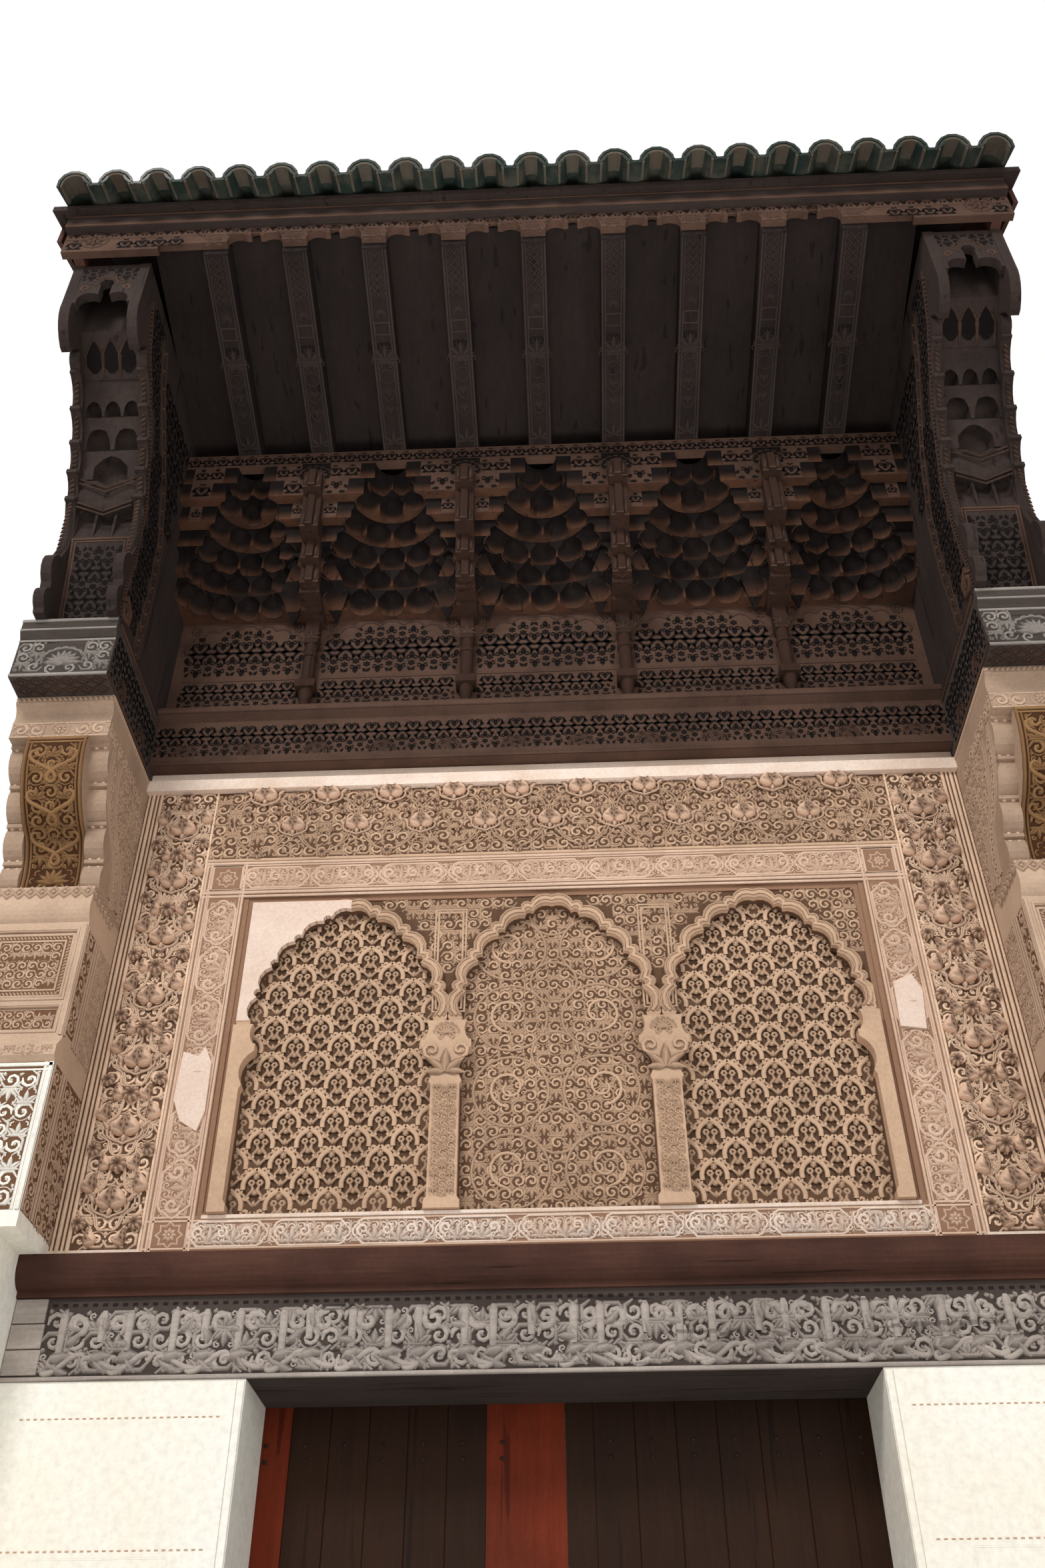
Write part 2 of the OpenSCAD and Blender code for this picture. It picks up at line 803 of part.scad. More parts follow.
module hood_colonnettes() {
    color("peru") for (i = [1 : vault_bays - 1])
        translate([rib_x(i), 0, 0]) hood_colonnette();
}

module rear_frieze() {
    color("peru") run_x(-half_bay, half_bay) polygon([
        [vault_out - frieze_t, frieze_z],
        [vault_out, frieze_z],
        [vault_out, rafter_rear_z - seat],
        [vault_out - frieze_t, rafter_rear_z - frieze_t * rafter_rise - seat]]);
}

// Side brackets, drawn for the right side
// Places of the steps up a bracket's front edge, as shares of its reach and height
bracket_steps = [[0.555, 0], [0.56, 0.09], [0.55, 0.215], [0.573, 0.415], [0.614, 0.485], [0.654, 0.568],
    [0.716, 0.647], [0.786, 0.73]];
bracket_nose = [[0.835, 0.775], [0.878, 0.71], [0.898, 0.71], [0.972, 0.82], [0.975, 1]];

function bracket_point(q, inset) = [q.x * hood_out - inset, hood_z + q.y * bracket_h];

// Front edge of a bracket: two volutes, hollow steps with a thin cap each, and a nose
function bracket_edge(inset) =
    let (
        p = [for (q = bracket_steps) bracket_point(q, inset)],
        nose = [for (q = bracket_nose) bracket_point(q, inset)],
        last = len(p) - 1,
        lip = 28,
        cap = 32
    )
    concat(
        [p[0]],
        [for (i = [0 : 1]) each arc(p[i] + [12, 30], p[i + 1] + [0, -20], -0.3)],
        [for (i = [2 : last - 1]) each concat(
            arc(p[i], p[i + 1] + [0, -cap], 0.14, 4),
            [p[i + 1] + [lip, -cap], p[i + 1] + [lip, 0]])],
        arc(p[last] + [cap, 0], nose[0], -0.2, 4),
        arc(nose[0], nose[1], 0.12, 4),
        arc(nose[2], nose[3], -0.16),
        [nose[4]]);

module bracket_board(x) {
    run_x(x, x + board_t) polygon(concat([[0, hood_z]], bracket_edge(0), [[0, bracket_top]]));
}

module bracket_boards() {
    color("peru") {
        bracket_board(half_bay);
        bracket_board(bracket_high);
    }
}

// Cells in each tier between the boards, counted from the second step; 0 is the slab with a keel
bracket_cells_in = [3, 0, 1, 2, 3];
cell_inset = 60;
keel_drop = 75;

// Where the lowest cells start, as shares of the bracket's reach and height
cell_foot = [0.56, 0.3];

// One tier of cells from share a to share b, leaning forward
module bracket_tier(a, b, cells) {
    p = bracket_point(a, cell_inset);
    q = bracket_point(b, cell_inset);
    w = (bracket_high - bracket_low) / cells;
    r = min(w * 0.43, (bracket_high - bracket_low) * 0.3);
    difference() {
        run_x(bracket_low, bracket_high) polygon([[0, p.y], [p.x, p.y], [q.x - 10, q.y], [0, q.y]]);
        for (k = [0 : cells - 1])
            translate([bracket_low + (k + 0.5) * w, -p.x, p.y - 1]) {
                cylinder(h = q.y - p.y - r, r = r);
                translate([0, 0, q.y - p.y - r - 0.5]) cylinder(h = r * 0.9, r1 = r, r2 = r * 0.3);
            }
    }
}

// Slab whose two faces meet in a keel, with a V-shaped lower and upper edge
module bracket_keel(i) {
    p = bracket_point(bracket_steps[i], 20);
    q = bracket_point(bracket_steps[i + 1], 20);
    mid = (bracket_low + bracket_high) / 2;
    intersection() {
        run_x(bracket_low, bracket_high)
            polygon([[0, p.y - keel_drop], [p.x - 10, p.y - keel_drop], [p.x, p.y], [q.x, q.y], [0, q.y]]);
        front_plate(-hood_out, 0) polygon([
            [bracket_low, p.y], [mid, p.y - keel_drop], [bracket_high, p.y],
            [bracket_high, q.y + cell_inset / 4], [mid, q.y - keel_drop], [bracket_low, q.y + cell_inset / 4]]);
        linear_extrude(q.y) polygon([
            [bracket_low, 0], [bracket_low, cell_inset - q.x], [mid, -q.x], [bracket_high, cell_inset - q.x],
            [bracket_high, 0]]);
    }
}

// Between the boards, from the foot up: a leaning panel, cells, the keeled slab, cells, a plain leaning board
module bracket_cells() {
    n = len(bracket_steps);
    core = 150;
    board_inset = 210;
    foot = bracket_point(bracket_steps[0], board_inset - 10);
    head = bracket_point(cell_foot, cell_inset);
    tip = bracket_point(bracket_nose[3], board_inset);
    color("burlywood") union() {
        run_x(bracket_low, bracket_high) polygon(concat(
            [[0, hood_z], foot, head],
            [for (i = [3 : n - 1]) bracket_point(bracket_steps[i], core)],
            [[0, bracket_point(bracket_steps[n - 1], core).y]]));
        for (i = [0 : len(bracket_cells_in) - 1])
            if (bracket_cells_in[i] > 0)
                bracket_tier(i == 0 ? cell_foot : bracket_steps[i + 2], bracket_steps[i + 3], bracket_cells_in[i]);
            else
                bracket_keel(i + 2);
        run_x(bracket_low, bracket_high) let (p = bracket_point(bracket_steps[n - 1], cell_inset))
            polygon([[0, p.y], p, tip, [tip.x, bracket_top], [0, bracket_top]]);
    }
}

// Plate across the head of a bracket, with a trefoil opening
module bracket_plate() {
    w = bracket_high - bracket_low;
    mid = (bracket_low + bracket_high) / 2;
    low = bracket_point(bracket_nose[3], 0);
    h = bracket_top - low.y;
    color("peru") front_plate(-low.x, -low.x + 60) difference() {
        translate([bracket_low, low.y]) square([w, h]);
        translate([mid, low.y + h * 0.5]) circle(r = w * 0.12);
        translate([mid - w * 0.1, low.y - 1]) square([w * 0.2, h * 0.5]);
        for (side = [-1, 1])
            translate([mid + side * w * 0.24, low.y + h * 0.08]) circle(r = w * 0.2);
        translate([mid - w * 0.44, low.y - 1]) square([w * 0.88, h * 0.08]);
    }
}

module bracket_plates() {
    bracket_plate();
    left() bracket_plate();
}

module bracket_left_boards() {
    left() bracket_boards();
}

module bracket_right_boards() {
    bracket_boards();
}

module bracket_left_cells() {
    left() bracket_cells();
}

module bracket_right_cells() {
    bracket_cells();
}

// Roof
module rafters() {
    tail = rafter_rear_z - vault_out * rafter_rise;
    nose = tail + hood_out * rafter_rise;
    color("sienna") for (i = [0 : rafter_n - 1]) {
        x = (i - (rafter_n - 1) / 2) * rafter_pitch;
        run_x(x - rafter_w / 2, x + rafter_w / 2) polygon([
            [0, tail], [hood_out, nose], [hood_out, nose + rafter_d], [0, tail + rafter_d]]);
    }
}

module ceiling_boards() {
    tail = rafter_rear_z - vault_out * rafter_rise + rafter_d;
    nose = tail + hood_out * rafter_rise;
    color("sienna") run_x(-half_bay, half_bay) polygon([
        [0, tail], [hood_out, nose], [hood_out, nose + ceiling_t], [0, tail + ceiling_t]]);
}

// Trefoil opening between two rafters: round shoulders and a small keyhole over them
module fascia_opening(gap) {
    shoulder = gap * 0.19;
    key = fascia_h * 0.185;
    translate([-gap / 2, -1]) square([gap, fascia_h * 0.15 + 1]);
    for (side = [-1, 1])
        translate([side * (gap / 2 - shoulder), fascia_h * 0.15]) circle(r = shoulder);
    translate([shoulder - gap / 2, 0]) square([gap - 2 * shoulder, fascia_h * 0.38]);
    translate([0, fascia_h * 0.6]) circle(r = key);
    translate([-key * 0.8, 0]) square([key * 1.6, fascia_h * 0.6]);
}

module fascia() {
    gap = rafter_pitch - rafter_w;
    color("peru") union() {
        front_plate(-hood_out - fascia_t, -hood_out) difference() {
            translate([-half_all, fascia_z]) square([2 * half_all, fascia_h]);
            for (i = [1 : rafter_n - 1])
                translate([(i - rafter_n / 2) * rafter_pitch, fascia_z]) fascia_opening(gap);
        }
        for (side = [-1, 1])
            translate([side * (half_all + half_bay - board_t) / 2, -hood_out - fascia_t / 2, 0])
                block([-(pier_w + board_t) / 2, -fascia_t / 2, bracket_top],
                    [(pier_w + board_t) / 2, fascia_t / 2, fascia_z + fascia_h / 2]);
    }
}

module eave_plank() {
    color("brown") run_x(-half_all, half_all) polygon([
        [hood_out + fascia_t, eave_z],
        [hood_out + 2 * fascia_t, eave_z],
        [hood_out + 2 * fascia_t, deck_z - seat],
        [hood_out + fascia_t, deck_z + fascia_t * roof_rise - seat]]);
}

module gable_board() {
    color("brown") run_x(bracket_high, bracket_high + board_t) polygon([
        [0, bracket_top],
        [hood_out, bracket_top],
        [hood_out, deck_z + 2 * fascia_t * roof_rise - seat],
        [0, deck_z + (hood_out + 2 * fascia_t) * roof_rise - seat]]);
}

module gable_boards() {
    gable_board();
    left() gable_board();
}

// Sloping board under the roof's edge at each side
module barge_board() {
    low = deck_z + 2 * fascia_t * roof_rise;
    color("brown") run_x(deck_half - barge_t, deck_half) polygon([
        [0, deck_z + (hood_out + 2 * fascia_t) * roof_rise - seat - barge_h],
        [hood_out, low - seat - barge_h],
        [hood_out, low - seat],
        [0, deck_z + (hood_out + 2 * fascia_t) * roof_rise - seat]]);
}

module barge_boards() {
    barge_board();
    left() barge_board();
}

module roof_deck() {
    base = deck_z + (hood_out + 2 * fascia_t) * roof_rise;
    low = base - deck_front * roof_rise;
    up = deck_t / cos(roof_pitch);
    color("sienna") run_x(-deck_half, deck_half) polygon([
        [0, base], [deck_front, low], [deck_front, low + up], [0, base + up]]);
}

// Section across a half-round tile, cut level at a height above its centre
module tile_section(cut) {
    difference() {
        circle(r = tile_r);
        circle(r = tile_r - tile_t);
        translate([-tile_r - 1, cut - 2 * tile_r]) square([2 * tile_r + 2, 2 * tile_r]);
    }
}

// Channel tiles on the boards, cover tiles over their edges
module roof_tiles() {
    base = deck_z + (hood_out + 2 * fascia_t) * roof_rise + deck_t / cos(roof_pitch);
    n = floor((2 * deck_half - 2 * tile_r) / tile_pitch);
    color("darkgreen") translate([0, 0, base]) rotate([90 + roof_pitch, 0, 0])
        linear_extrude(tiles_front / cos(roof_pitch)) {
            for (i = [0 : n])
                translate([(i - n / 2) * tile_pitch, tile_t]) tile_section(0);
            for (i = [0 : n - 1])
                translate([(i + 0.5 - n / 2) * tile_pitch, tile_r]) mirror([0, 1]) tile_section(tile_r * 0.35);
        }
}

wall_left();
wall_right();
wall_over_door();
threshold();
lintel();
lintel_cornice();
rear_lintel();
leaf_left_planks();
leaf_left_stiles();
leaf_left_ledges();
leaf_right_planks();
leaf_right_stiles();
leaf_right_ledges();
stucco_frame();
arcade_plate();
arch_ribbons();
arcade_columns();
lattice_left();
lattice_centre();
lattice_right();
side_band_left();
side_band_right();
top_band();
stucco_ledge();
pier_left_shaft();
pier_right_shaft();
pier_left_block();
pier_right_block();
pier_left_console();
pier_right_console();
beam_left();
beam_right();
beam_back();
hood_panel();
hood_colonnettes();
hood_vault();
rear_frieze();
bracket_left_boards();
bracket_right_boards();
bracket_left_cells();
bracket_right_cells();
bracket_plates();
rafters();
ceiling_boards();
fascia();
eave_plank();
gable_boards();
barge_boards();
roof_deck();
roof_tiles();
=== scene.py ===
"""Looks of a monumental portal bay: finishes, carving, door boards, roof tiles, stage and camera."""
import math
import random

import bmesh
import bpy
import numpy as np
from bpy.props import FloatProperty, FloatVectorProperty, IntProperty, PointerProperty
from mathutils import Matrix, Vector


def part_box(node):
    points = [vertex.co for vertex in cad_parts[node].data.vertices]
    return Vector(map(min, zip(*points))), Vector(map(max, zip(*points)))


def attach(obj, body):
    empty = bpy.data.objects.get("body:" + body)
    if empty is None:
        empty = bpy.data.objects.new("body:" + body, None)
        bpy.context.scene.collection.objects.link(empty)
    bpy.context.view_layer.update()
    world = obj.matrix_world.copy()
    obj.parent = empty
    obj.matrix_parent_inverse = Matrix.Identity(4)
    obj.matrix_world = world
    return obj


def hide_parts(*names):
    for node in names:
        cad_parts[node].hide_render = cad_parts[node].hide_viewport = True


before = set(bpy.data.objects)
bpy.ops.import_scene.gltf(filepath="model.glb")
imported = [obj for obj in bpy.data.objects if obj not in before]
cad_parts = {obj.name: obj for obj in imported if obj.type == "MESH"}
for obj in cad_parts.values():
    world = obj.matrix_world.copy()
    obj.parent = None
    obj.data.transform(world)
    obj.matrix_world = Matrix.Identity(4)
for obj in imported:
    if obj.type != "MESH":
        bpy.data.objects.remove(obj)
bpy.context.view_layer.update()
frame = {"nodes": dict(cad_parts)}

bl_info = {
    "name": "Portal Bay",
    "version": (1, 0, 0),
    "blender": (4, 5, 0),
    "location": "View3D > Sidebar > Portal",
    "description": "Dresses a carved portal bay with stucco, cedar, planks and glazed tiles",
    "category": "Add Mesh",
}

FULL = 2 * math.pi
SIDES = ((-1, "left"), (1, "right"))

# Vault of the hood: five bays between ribs, each with a niche that narrows from tier to tier
VAULT_TIERS = 6
VAULT_TAPER = 6.6
RIB_PLACES = (-1.575, -0.525, 0.525, 1.575)
RIB_HALF = 0.063


def tint(red, green, blue):
    """Linear colour of an 8-bit screen colour"""
    return tuple(((c / 255 + 0.055) / 1.055) ** 2.4 if c > 10 else c / 255 / 12.92
                 for c in (red, green, blue))


def colour_property(name, description, red, green, blue):
    return FloatVectorProperty(name=name, description=description, default=tint(red, green, blue),
                               subtype="COLOR", size=3, min=0, max=1)


def length_property(name, description, default):
    return FloatProperty(name=name, description=description, default=default, unit="LENGTH")


def angle_property(name, description, degrees):
    return FloatProperty(name=name, description=description, default=math.radians(degrees), subtype="ANGLE")


class PortalStage(bpy.types.PropertyGroup):
    eye_height: length_property("Eye Height", "Height of the camera over the ground", 1.6)
    eye_distance: length_property("Eye Distance", "Distance of the camera from the wall", 6.4415)
    eye_side: length_property("Eye Side", "Place of the camera right of the middle", 0.0646)
    pitch: angle_property("Pitch", "How far the camera looks up", 39.549)
    yaw: angle_property("Yaw", "How far the camera looks to the right", -2.031)
    roll: angle_property("Roll", "How far the camera leans", -0.410)
    lens: FloatProperty(name="Lens", description="Focal length on a 36 mm sensor", default=30.97)
    floor_size: length_property("Floor Size", "Width of the pale floor", 60.0)


class PortalColours(bpy.types.PropertyGroup):
    plaster: colour_property("Plaster", "Pale plaster of the wall and the pier shafts", 250, 246, 234)
    plaster_blotch: colour_property("Plaster Blotches", "Peach blotches on the plaster", 246, 226, 200)
    stucco: colour_property("Stucco", "Raised carving of the stucco", 206, 172, 143)
    # Painted shade with dirt: the colour of the stucco's hollows and ground
    stucco_hollow: colour_property("Stucco Hollows", "Ground behind the stucco carving", 74, 47, 29)
    sunny: colour_property("Sunlit Stucco", "Raised carving of the side bands", 240, 206, 176)
    bud: colour_property("Buds", "Buds and cups of the deep relief", 226, 190, 163)
    stucco_pale: colour_property("Pale Stucco", "White ledges and mouldings", 236, 216, 200)
    frame: colour_property("Frame Stucco", "Raised carving of the frame", 220, 189, 165)
    # Painted shade with dirt: the colour of the frame's hollows and ground
    frame_hollow: colour_property("Frame Hollows", "Ground behind the frame's carving", 142, 106, 82)
    pier: colour_property("Pier Stucco", "Raised carving of the piers", 204, 175, 150)
    # Painted shade with dirt: the colour of the piers' hollows and ground
    pier_hollow: colour_property("Pier Hollows", "Ground behind the carving of the piers", 112, 80, 58)
    console: colour_property("Console Stucco", "Raised carving of the consoles", 148, 112, 76)
    # Painted shade with dirt: the colour of the consoles' hollows and ground
    console_hollow: colour_property("Console Hollows", "Ground behind the consoles' carving", 70, 44, 26)
    repair: colour_property("Repaired Plaster", "Smooth pinkish repairs", 226, 200, 182)
    timber: colour_property("Weathered Timber", "Raised carving of the lintel", 178, 166, 156)
    # Painted shade with dirt: the colour of the lintel's hollows and ground
    timber_hollow: colour_property("Timber Hollows", "Ground behind the lintel's carving", 44, 32, 28)
    silver: colour_property("Silvered Timber", "Sun-bleached fronts of the side beams", 150, 142, 134)
    cedar: colour_property("Cedar", "Raised carving of the hood", 85, 63, 52)
    # Painted shade with dirt: the colour of the hood's hollows and ground; also a stain colour of other
    # timber
    cedar_hollow: colour_property("Cedar Hollows", "Ground behind the hood's carving", 18, 12, 10)
    # Painted highlight: lighter cedar for the edges of the ribs, the rims of the vault's cells and the
    # brackets' trim
    cedar_highlight: colour_property("Highlit Cedar", "Highlit edges of the hood's mouldings", 80, 60, 49)
    cedar_red: colour_property("Red Cedar", "Smooth colonnettes of the hood", 56, 38, 30)
    cedar_plain: colour_property("Plain Cedar", "Boards of the hood", 55, 45, 41)
    # The vault colour shows only at the lower edges of the cells, below the painted shade of each tier
    vault: colour_property("Vault", "Lower edges of the vault's cells", 82, 54, 39)
    # Soot together with painted shade: the dark of the rafters and ceiling boards under the eave, also the
    # vault's stain
    shade: colour_property("Sooty Shaded Cedar", "Rafters", 37, 29, 26)
    red_plank: colour_property("Red Plank", "Red-brown boards of gable and cornice", 84, 56, 46)
    door_plank: colour_property("Door Planks", "Dark planks of the leaves", 46, 27, 15)
    door_red: colour_property("Door Stile", "Red stiles of the left leaf", 112, 42, 20)
    glaze: colour_property("Glaze", "Green glaze of the roof tiles", 36, 46, 41)
    lime: colour_property("Lime", "Lime and moss on the roof tiles", 84, 78, 68)
    stone: colour_property("Stone", "Stone of the threshold", 176, 166, 150)


class PortalSizes(bpy.types.PropertyGroup):
    arch_pitch: length_property("Arch Pitch", "Distance between the arches", 1.16)
    arch_width: length_property("Arch Width", "Clear width of an arch", 1.0)
    ribbon_width: length_property("Ribbon Width", "Width of the ribbon round an arch", 0.062)
    motif_pitch: length_property("Motif Pitch", "Distance between the paired buds of the bands", 0.39)
    scroll_cell: length_property("Scroll Size", "Size of one scroll of the carving", 0.08)
    lattice_width: length_property("Lattice Cell Width", "Width of a cell of the side lattices", 0.25)
    lattice_height: length_property("Lattice Cell Height", "Height of a cell of the side lattices", 0.22)
    plank_width: length_property("Plank Width", "Width of a door plank", 0.19)
    nail_size: length_property("Nail Size", "Width of a nail head of the door", 0.022)
    tile_rows: IntProperty(name="Tile Rows", description="Roof tiles from the eave up to the wall",
                           default=7, min=2)


# Strands: a raised line of carving is a profile, whether it closes, and points with a half width each
PROFILES = {
    "ridge": ((-1, 0), (0, 1), (1, 0)),
    "fillet": ((-1, 0), (-0.72, 0.6), (0.72, 0.6), (1, 0)),
    "bulb": ((-1, 0), (-0.7, 0.7), (0, 1), (0.7, 0.7), (1, 0)),
    # pit: a flat strip just proud of the surface, all in the hollow colour, painted shade with dirt of a cut
    "pit": ((-1, 0.02), (1, 0.02)),
}


def strand(points, width, profile="ridge", closed=False):
    widths = width if hasattr(width, "__len__") else [width] * len(points)
    return [(profile, closed, [(x, y, half) for (x, y), half in zip(points, widths)])]


def moved(strands, x=0.0, y=0.0, turn=0.0, scale=1.0, flip=False):
    """The same strands mirrored, scaled, turned and shifted"""
    cos, sin = math.cos(turn) * scale, math.sin(turn) * scale
    side = -1 if flip else 1
    return [(profile, closed, [(x + side * a * cos - b * sin, y + side * a * sin + b * cos, half * scale)
                               for a, b, half in points])
            for profile, closed, points in strands]


def mirrored(strands, x=0.0):
    return strands + moved(strands, 2 * x, flip=True)


def thick(strands, factor, profile=None):
    """The same strands with other widths, and with another profile if one is named"""
    return [(profile or kind, closed, [(x, y, half * factor) for x, y, half in points])
            for kind, closed, points in strands]


def clipped(strands, x0, y0, x1, y1):
    """Only the strands that lie in a rectangle"""
    return [item for item in strands if all(x0 <= x <= x1 and y0 <= y <= y1 for x, y, _ in item[2])]


def circle_points(radius, count, start=0.0, sweep=FULL, x=0.0, y=0.0):
    turns = [start + sweep * i / count for i in range(count + (abs(sweep) < FULL))]
    return [(x + radius * math.cos(turn), y + radius * math.sin(turn)) for turn in turns]


def ring(radius, count, width, x=0.0, y=0.0):
    return strand(circle_points(radius, count, x=x, y=y), width, closed=True)


def bezier(a, b, c, d, count=6):
    points = []
    for i in range(count + 1):
        t = i / count
        weights = ((1 - t) ** 3, 3 * t * (1 - t) ** 2, 3 * t * t * (1 - t), t ** 3)
        points.append(tuple(sum(w * p[k] for w, p in zip(weights, (a, b, c, d))) for k in (0, 1)))
    return points


def arc(a, b, bulge, count=4):
    """Points on a circle from a to b; bulge is its height as a share of the chord, to the left"""
    chord = math.hypot(b[0] - a[0], b[1] - a[1])
    height = abs(bulge) * chord
    radius = (chord * chord / 4 + height * height) / (2 * height)
    half = math.asin(min(1, chord / 2 / radius))
    side = math.copysign(1, bulge)
    ux, uy = (b[0] - a[0]) / chord, (b[1] - a[1]) / chord
    points = []
    for i in range(count + 1):
        turn = half * (2 * i / count - 1)
        along = radius * math.sin(turn) + chord / 2
        lift = side * (radius * math.cos(turn) - radius * math.cos(half))
        points.append((a[0] + ux * along - uy * lift, a[1] + uy * along + ux * lift))
    return points


def leaf(length, width, bend=0.0):
    """A pointed leaf that grows up from the origin"""
    points = [(bend * length * t * t, length * t) for t in (0, 0.3, 0.65, 1)]
    return strand(points, [width * 0.3, width * 1.25, width, width * 0.1])


def spiral(size, turns=1.2, start=-math.pi / 2, width=0.2, count=9):
    """A scroll that starts on its rim and winds in"""
    points, widths = [], []
    for i in range(count + 1):
        share = i / count
        reach = size * (1 - 0.82 * share)
        angle = start + turns * FULL * share
        points.append((reach * math.cos(angle), reach * math.sin(angle)))
        widths.append(size * width * (1.15 - 0.45 * share))
    widths[0] *= 0.4
    return strand(points, widths, "fillet")


def ground(x0, y0, x1, y1, count=1):
    """A flat dark patch behind carving: painted shade with dirt on the carving's ground"""
    middle = (x0 + x1) / 2
    return strand([(middle, y0 + (y1 - y0) * i / count) for i in range(count + 1)], (x1 - x0) / 2, "pit")


def button(radius):
    return strand([(0, -radius), (0, -radius * 0.4), (0, radius * 0.4), (0, radius)],
                  [radius * 0.3, radius, radius, radius * 0.3], "bulb")


def flower(size, petals=8):
    strands = button(size * 0.22)
    for i in range(petals):
        angle = FULL * i / petals
        strands += moved(leaf(size * 0.72, size * 0.24), -size * 0.25 * math.sin(angle),
                         size * 0.25 * math.cos(angle), angle)
    return strands


def shell(size, ribs=7):
    """Ribs fanned out under a scalloped rim, over two small scrolls"""
    strands = []
    for i in range(ribs):
        turn = math.radians(-78 + 156 * i / (ribs - 1))
        strands += moved(leaf(size * 0.92, size * 0.15), turn=turn)
        strands += moved(strand(circle_points(size * 0.17, 4, 0, math.pi), size * 0.05),
                         -size * math.sin(turn), size * math.cos(turn), turn)
    return strands + mirrored(moved(spiral(size * 0.3), size * 0.42, -size * 0.22))


def palmette(size):
    strands = leaf(size, size * 0.17)
    strands += mirrored(moved(leaf(size * 0.85, size * 0.14, 0.3), size * 0.05, 0, -0.55))
    strands += mirrored(moved(leaf(size * 0.62, size * 0.12, 0.5), size * 0.08, 0, -1.15))
    return strands


def heart(size):
    """Two stems that meet in a point below and end in scrolls, with a leaf between them"""
    stem = bezier((0, -size), (size * 0.8, -size * 0.55), (size, size * 0.25), (size * 0.6, size * 0.5), 5)
    half = strand(stem, size * 0.1) + moved(spiral(size * 0.3, 1.1, 0.9), size * 0.36, size * 0.3)
    return mirrored(half) + moved(leaf(size * 0.95, size * 0.17), 0, -size * 0.45)


def s_scroll(length, height, width):
    """A long fat S with a curl at each end"""
    curl = height * 0.27
    x, y = length / 2 - curl, -height / 2 + curl
    line = bezier((0, 0), (x * 0.4, -height * 0.3), (x * 0.6, -height / 2), (x, -height / 2), 4)
    for i in range(1, 8):
        reach = curl * (1 - 0.09 * i)
        line.append((x + reach * math.sin(i * 0.8), y - reach * math.cos(i * 0.8)))
    widths = [width * min(1, 1.25 - 0.09 * i) for i in range(len(line))]
    line = [(-x, -y) for x, y in reversed(line[1:])] + line
    return strand(line, list(reversed(widths[1:])) + widths, "bulb")


def star(size):
    """Eight-pointed star with a flower inside"""
    reaches = [size * (1 if i % 2 == 0 else 0.72) for i in range(16)]
    points = [(reach * math.cos(FULL * i / 16), reach * math.sin(FULL * i / 16))
              for i, reach in enumerate(reaches)]
    return strand(points, size * 0.08, closed=True) + flower(size * 0.58)


def rectangle(x0, y0, x1, y1, width):
    return strand([(x0, y0), (x1, y0), (x1, y1), (x0, y1)], width, "fillet", closed=True)


def bar(x0, y0, x1, y1, width, profile="fillet"):
    return strand([(x0, y0), (x1, y1)], width, profile)


def uprights(y0, y1, *marks):
    """Upright fillets between two heights; each mark is a place across and a half width"""
    return [item for x, half in marks for item in bar(x, y0, x, y1, half)]


def levels(x0, x1, *marks):
    """Level fillets between two places across; each mark is a height and a half width"""
    return [item for y, half in marks for item in bar(x0, y, x1, y, half)]


def cartouche(length, height):
    """Long frame with lobed ends, and a row of scrolls and palmettes in it"""
    end = height * 0.42
    half = length / 2 - end
    tip, shoulder = half + end * 0.6, height * 0.22
    line = [(-half, -height / 2), (half, -height / 2)]
    line += arc((half, -height / 2), (tip, -shoulder), -0.2, 2)[1:]
    line += arc((tip, -shoulder), (tip, shoulder), -0.35, 4)[1:]
    line += [(half, height / 2), (-half, height / 2)]
    line += [(-x, -y) for x, y in line[2:-2]]
    strands = strand(line, height * 0.05, "fillet", closed=True)
    count = max(2, round(2 * half / height * 2.2))
    step = 2 * half / count
    for i in range(count + 1):
        x = (i - count / 2) * step
        if i % 2:
            strands += moved(palmette(height * 0.66), x, -height * 0.36)
        else:
            scroll = spiral(height * 0.27, 1.2, width=0.26)
            strands += moved(scroll, x, height * 0.06, math.pi * (i // 2 % 2), 1, x < 0)
            strands += moved(leaf(height * 0.2, height * 0.07), x, -height * 0.4)
        strands += moved(leaf(height * 0.26, height * 0.07, 0.5), x + step * 0.45, -height * 0.2, 0.3)
        strands += moved(leaf(height * 0.24, height * 0.07, -0.5), x + step * 0.45, height * 0.1, -0.4)
    return clipped(strands, -length / 2, -height, length / 2, height)


def scroll_cell(size, kind):
    """One cell of a scroll field: a scroll with leaves round it, or a palmette"""
    if kind == 3:
        return moved(palmette(size * 1.5), 0, -size * 0.8) + mirrored(
            moved(spiral(size * 0.36, count=7), size * 0.62, size * 0.45))
    strands = spiral(size * 0.86, 1.15, -math.pi * 0.6, 0.19)
    strands += moved(leaf(size * 0.56, size * 0.17, 0.3), size * 0.66, size * 0.5, -0.8)
    strands += moved(leaf(size * 0.5, size * 0.16, 0.4), -size * 0.72, size * 0.5, 0.7)
    strands += moved(leaf(size * 0.5, size * 0.16, -0.4), size * 0.75, -size * 0.58, -2.4)
    strands += moved(leaf(size * 0.36, size * 0.18), 0, -size * 0.12, 0.5)
    if kind == 1:
        strands += strand(circle_points(size * 0.95, 7, 0.4, math.pi * 0.8), size * 0.09)
    return strands


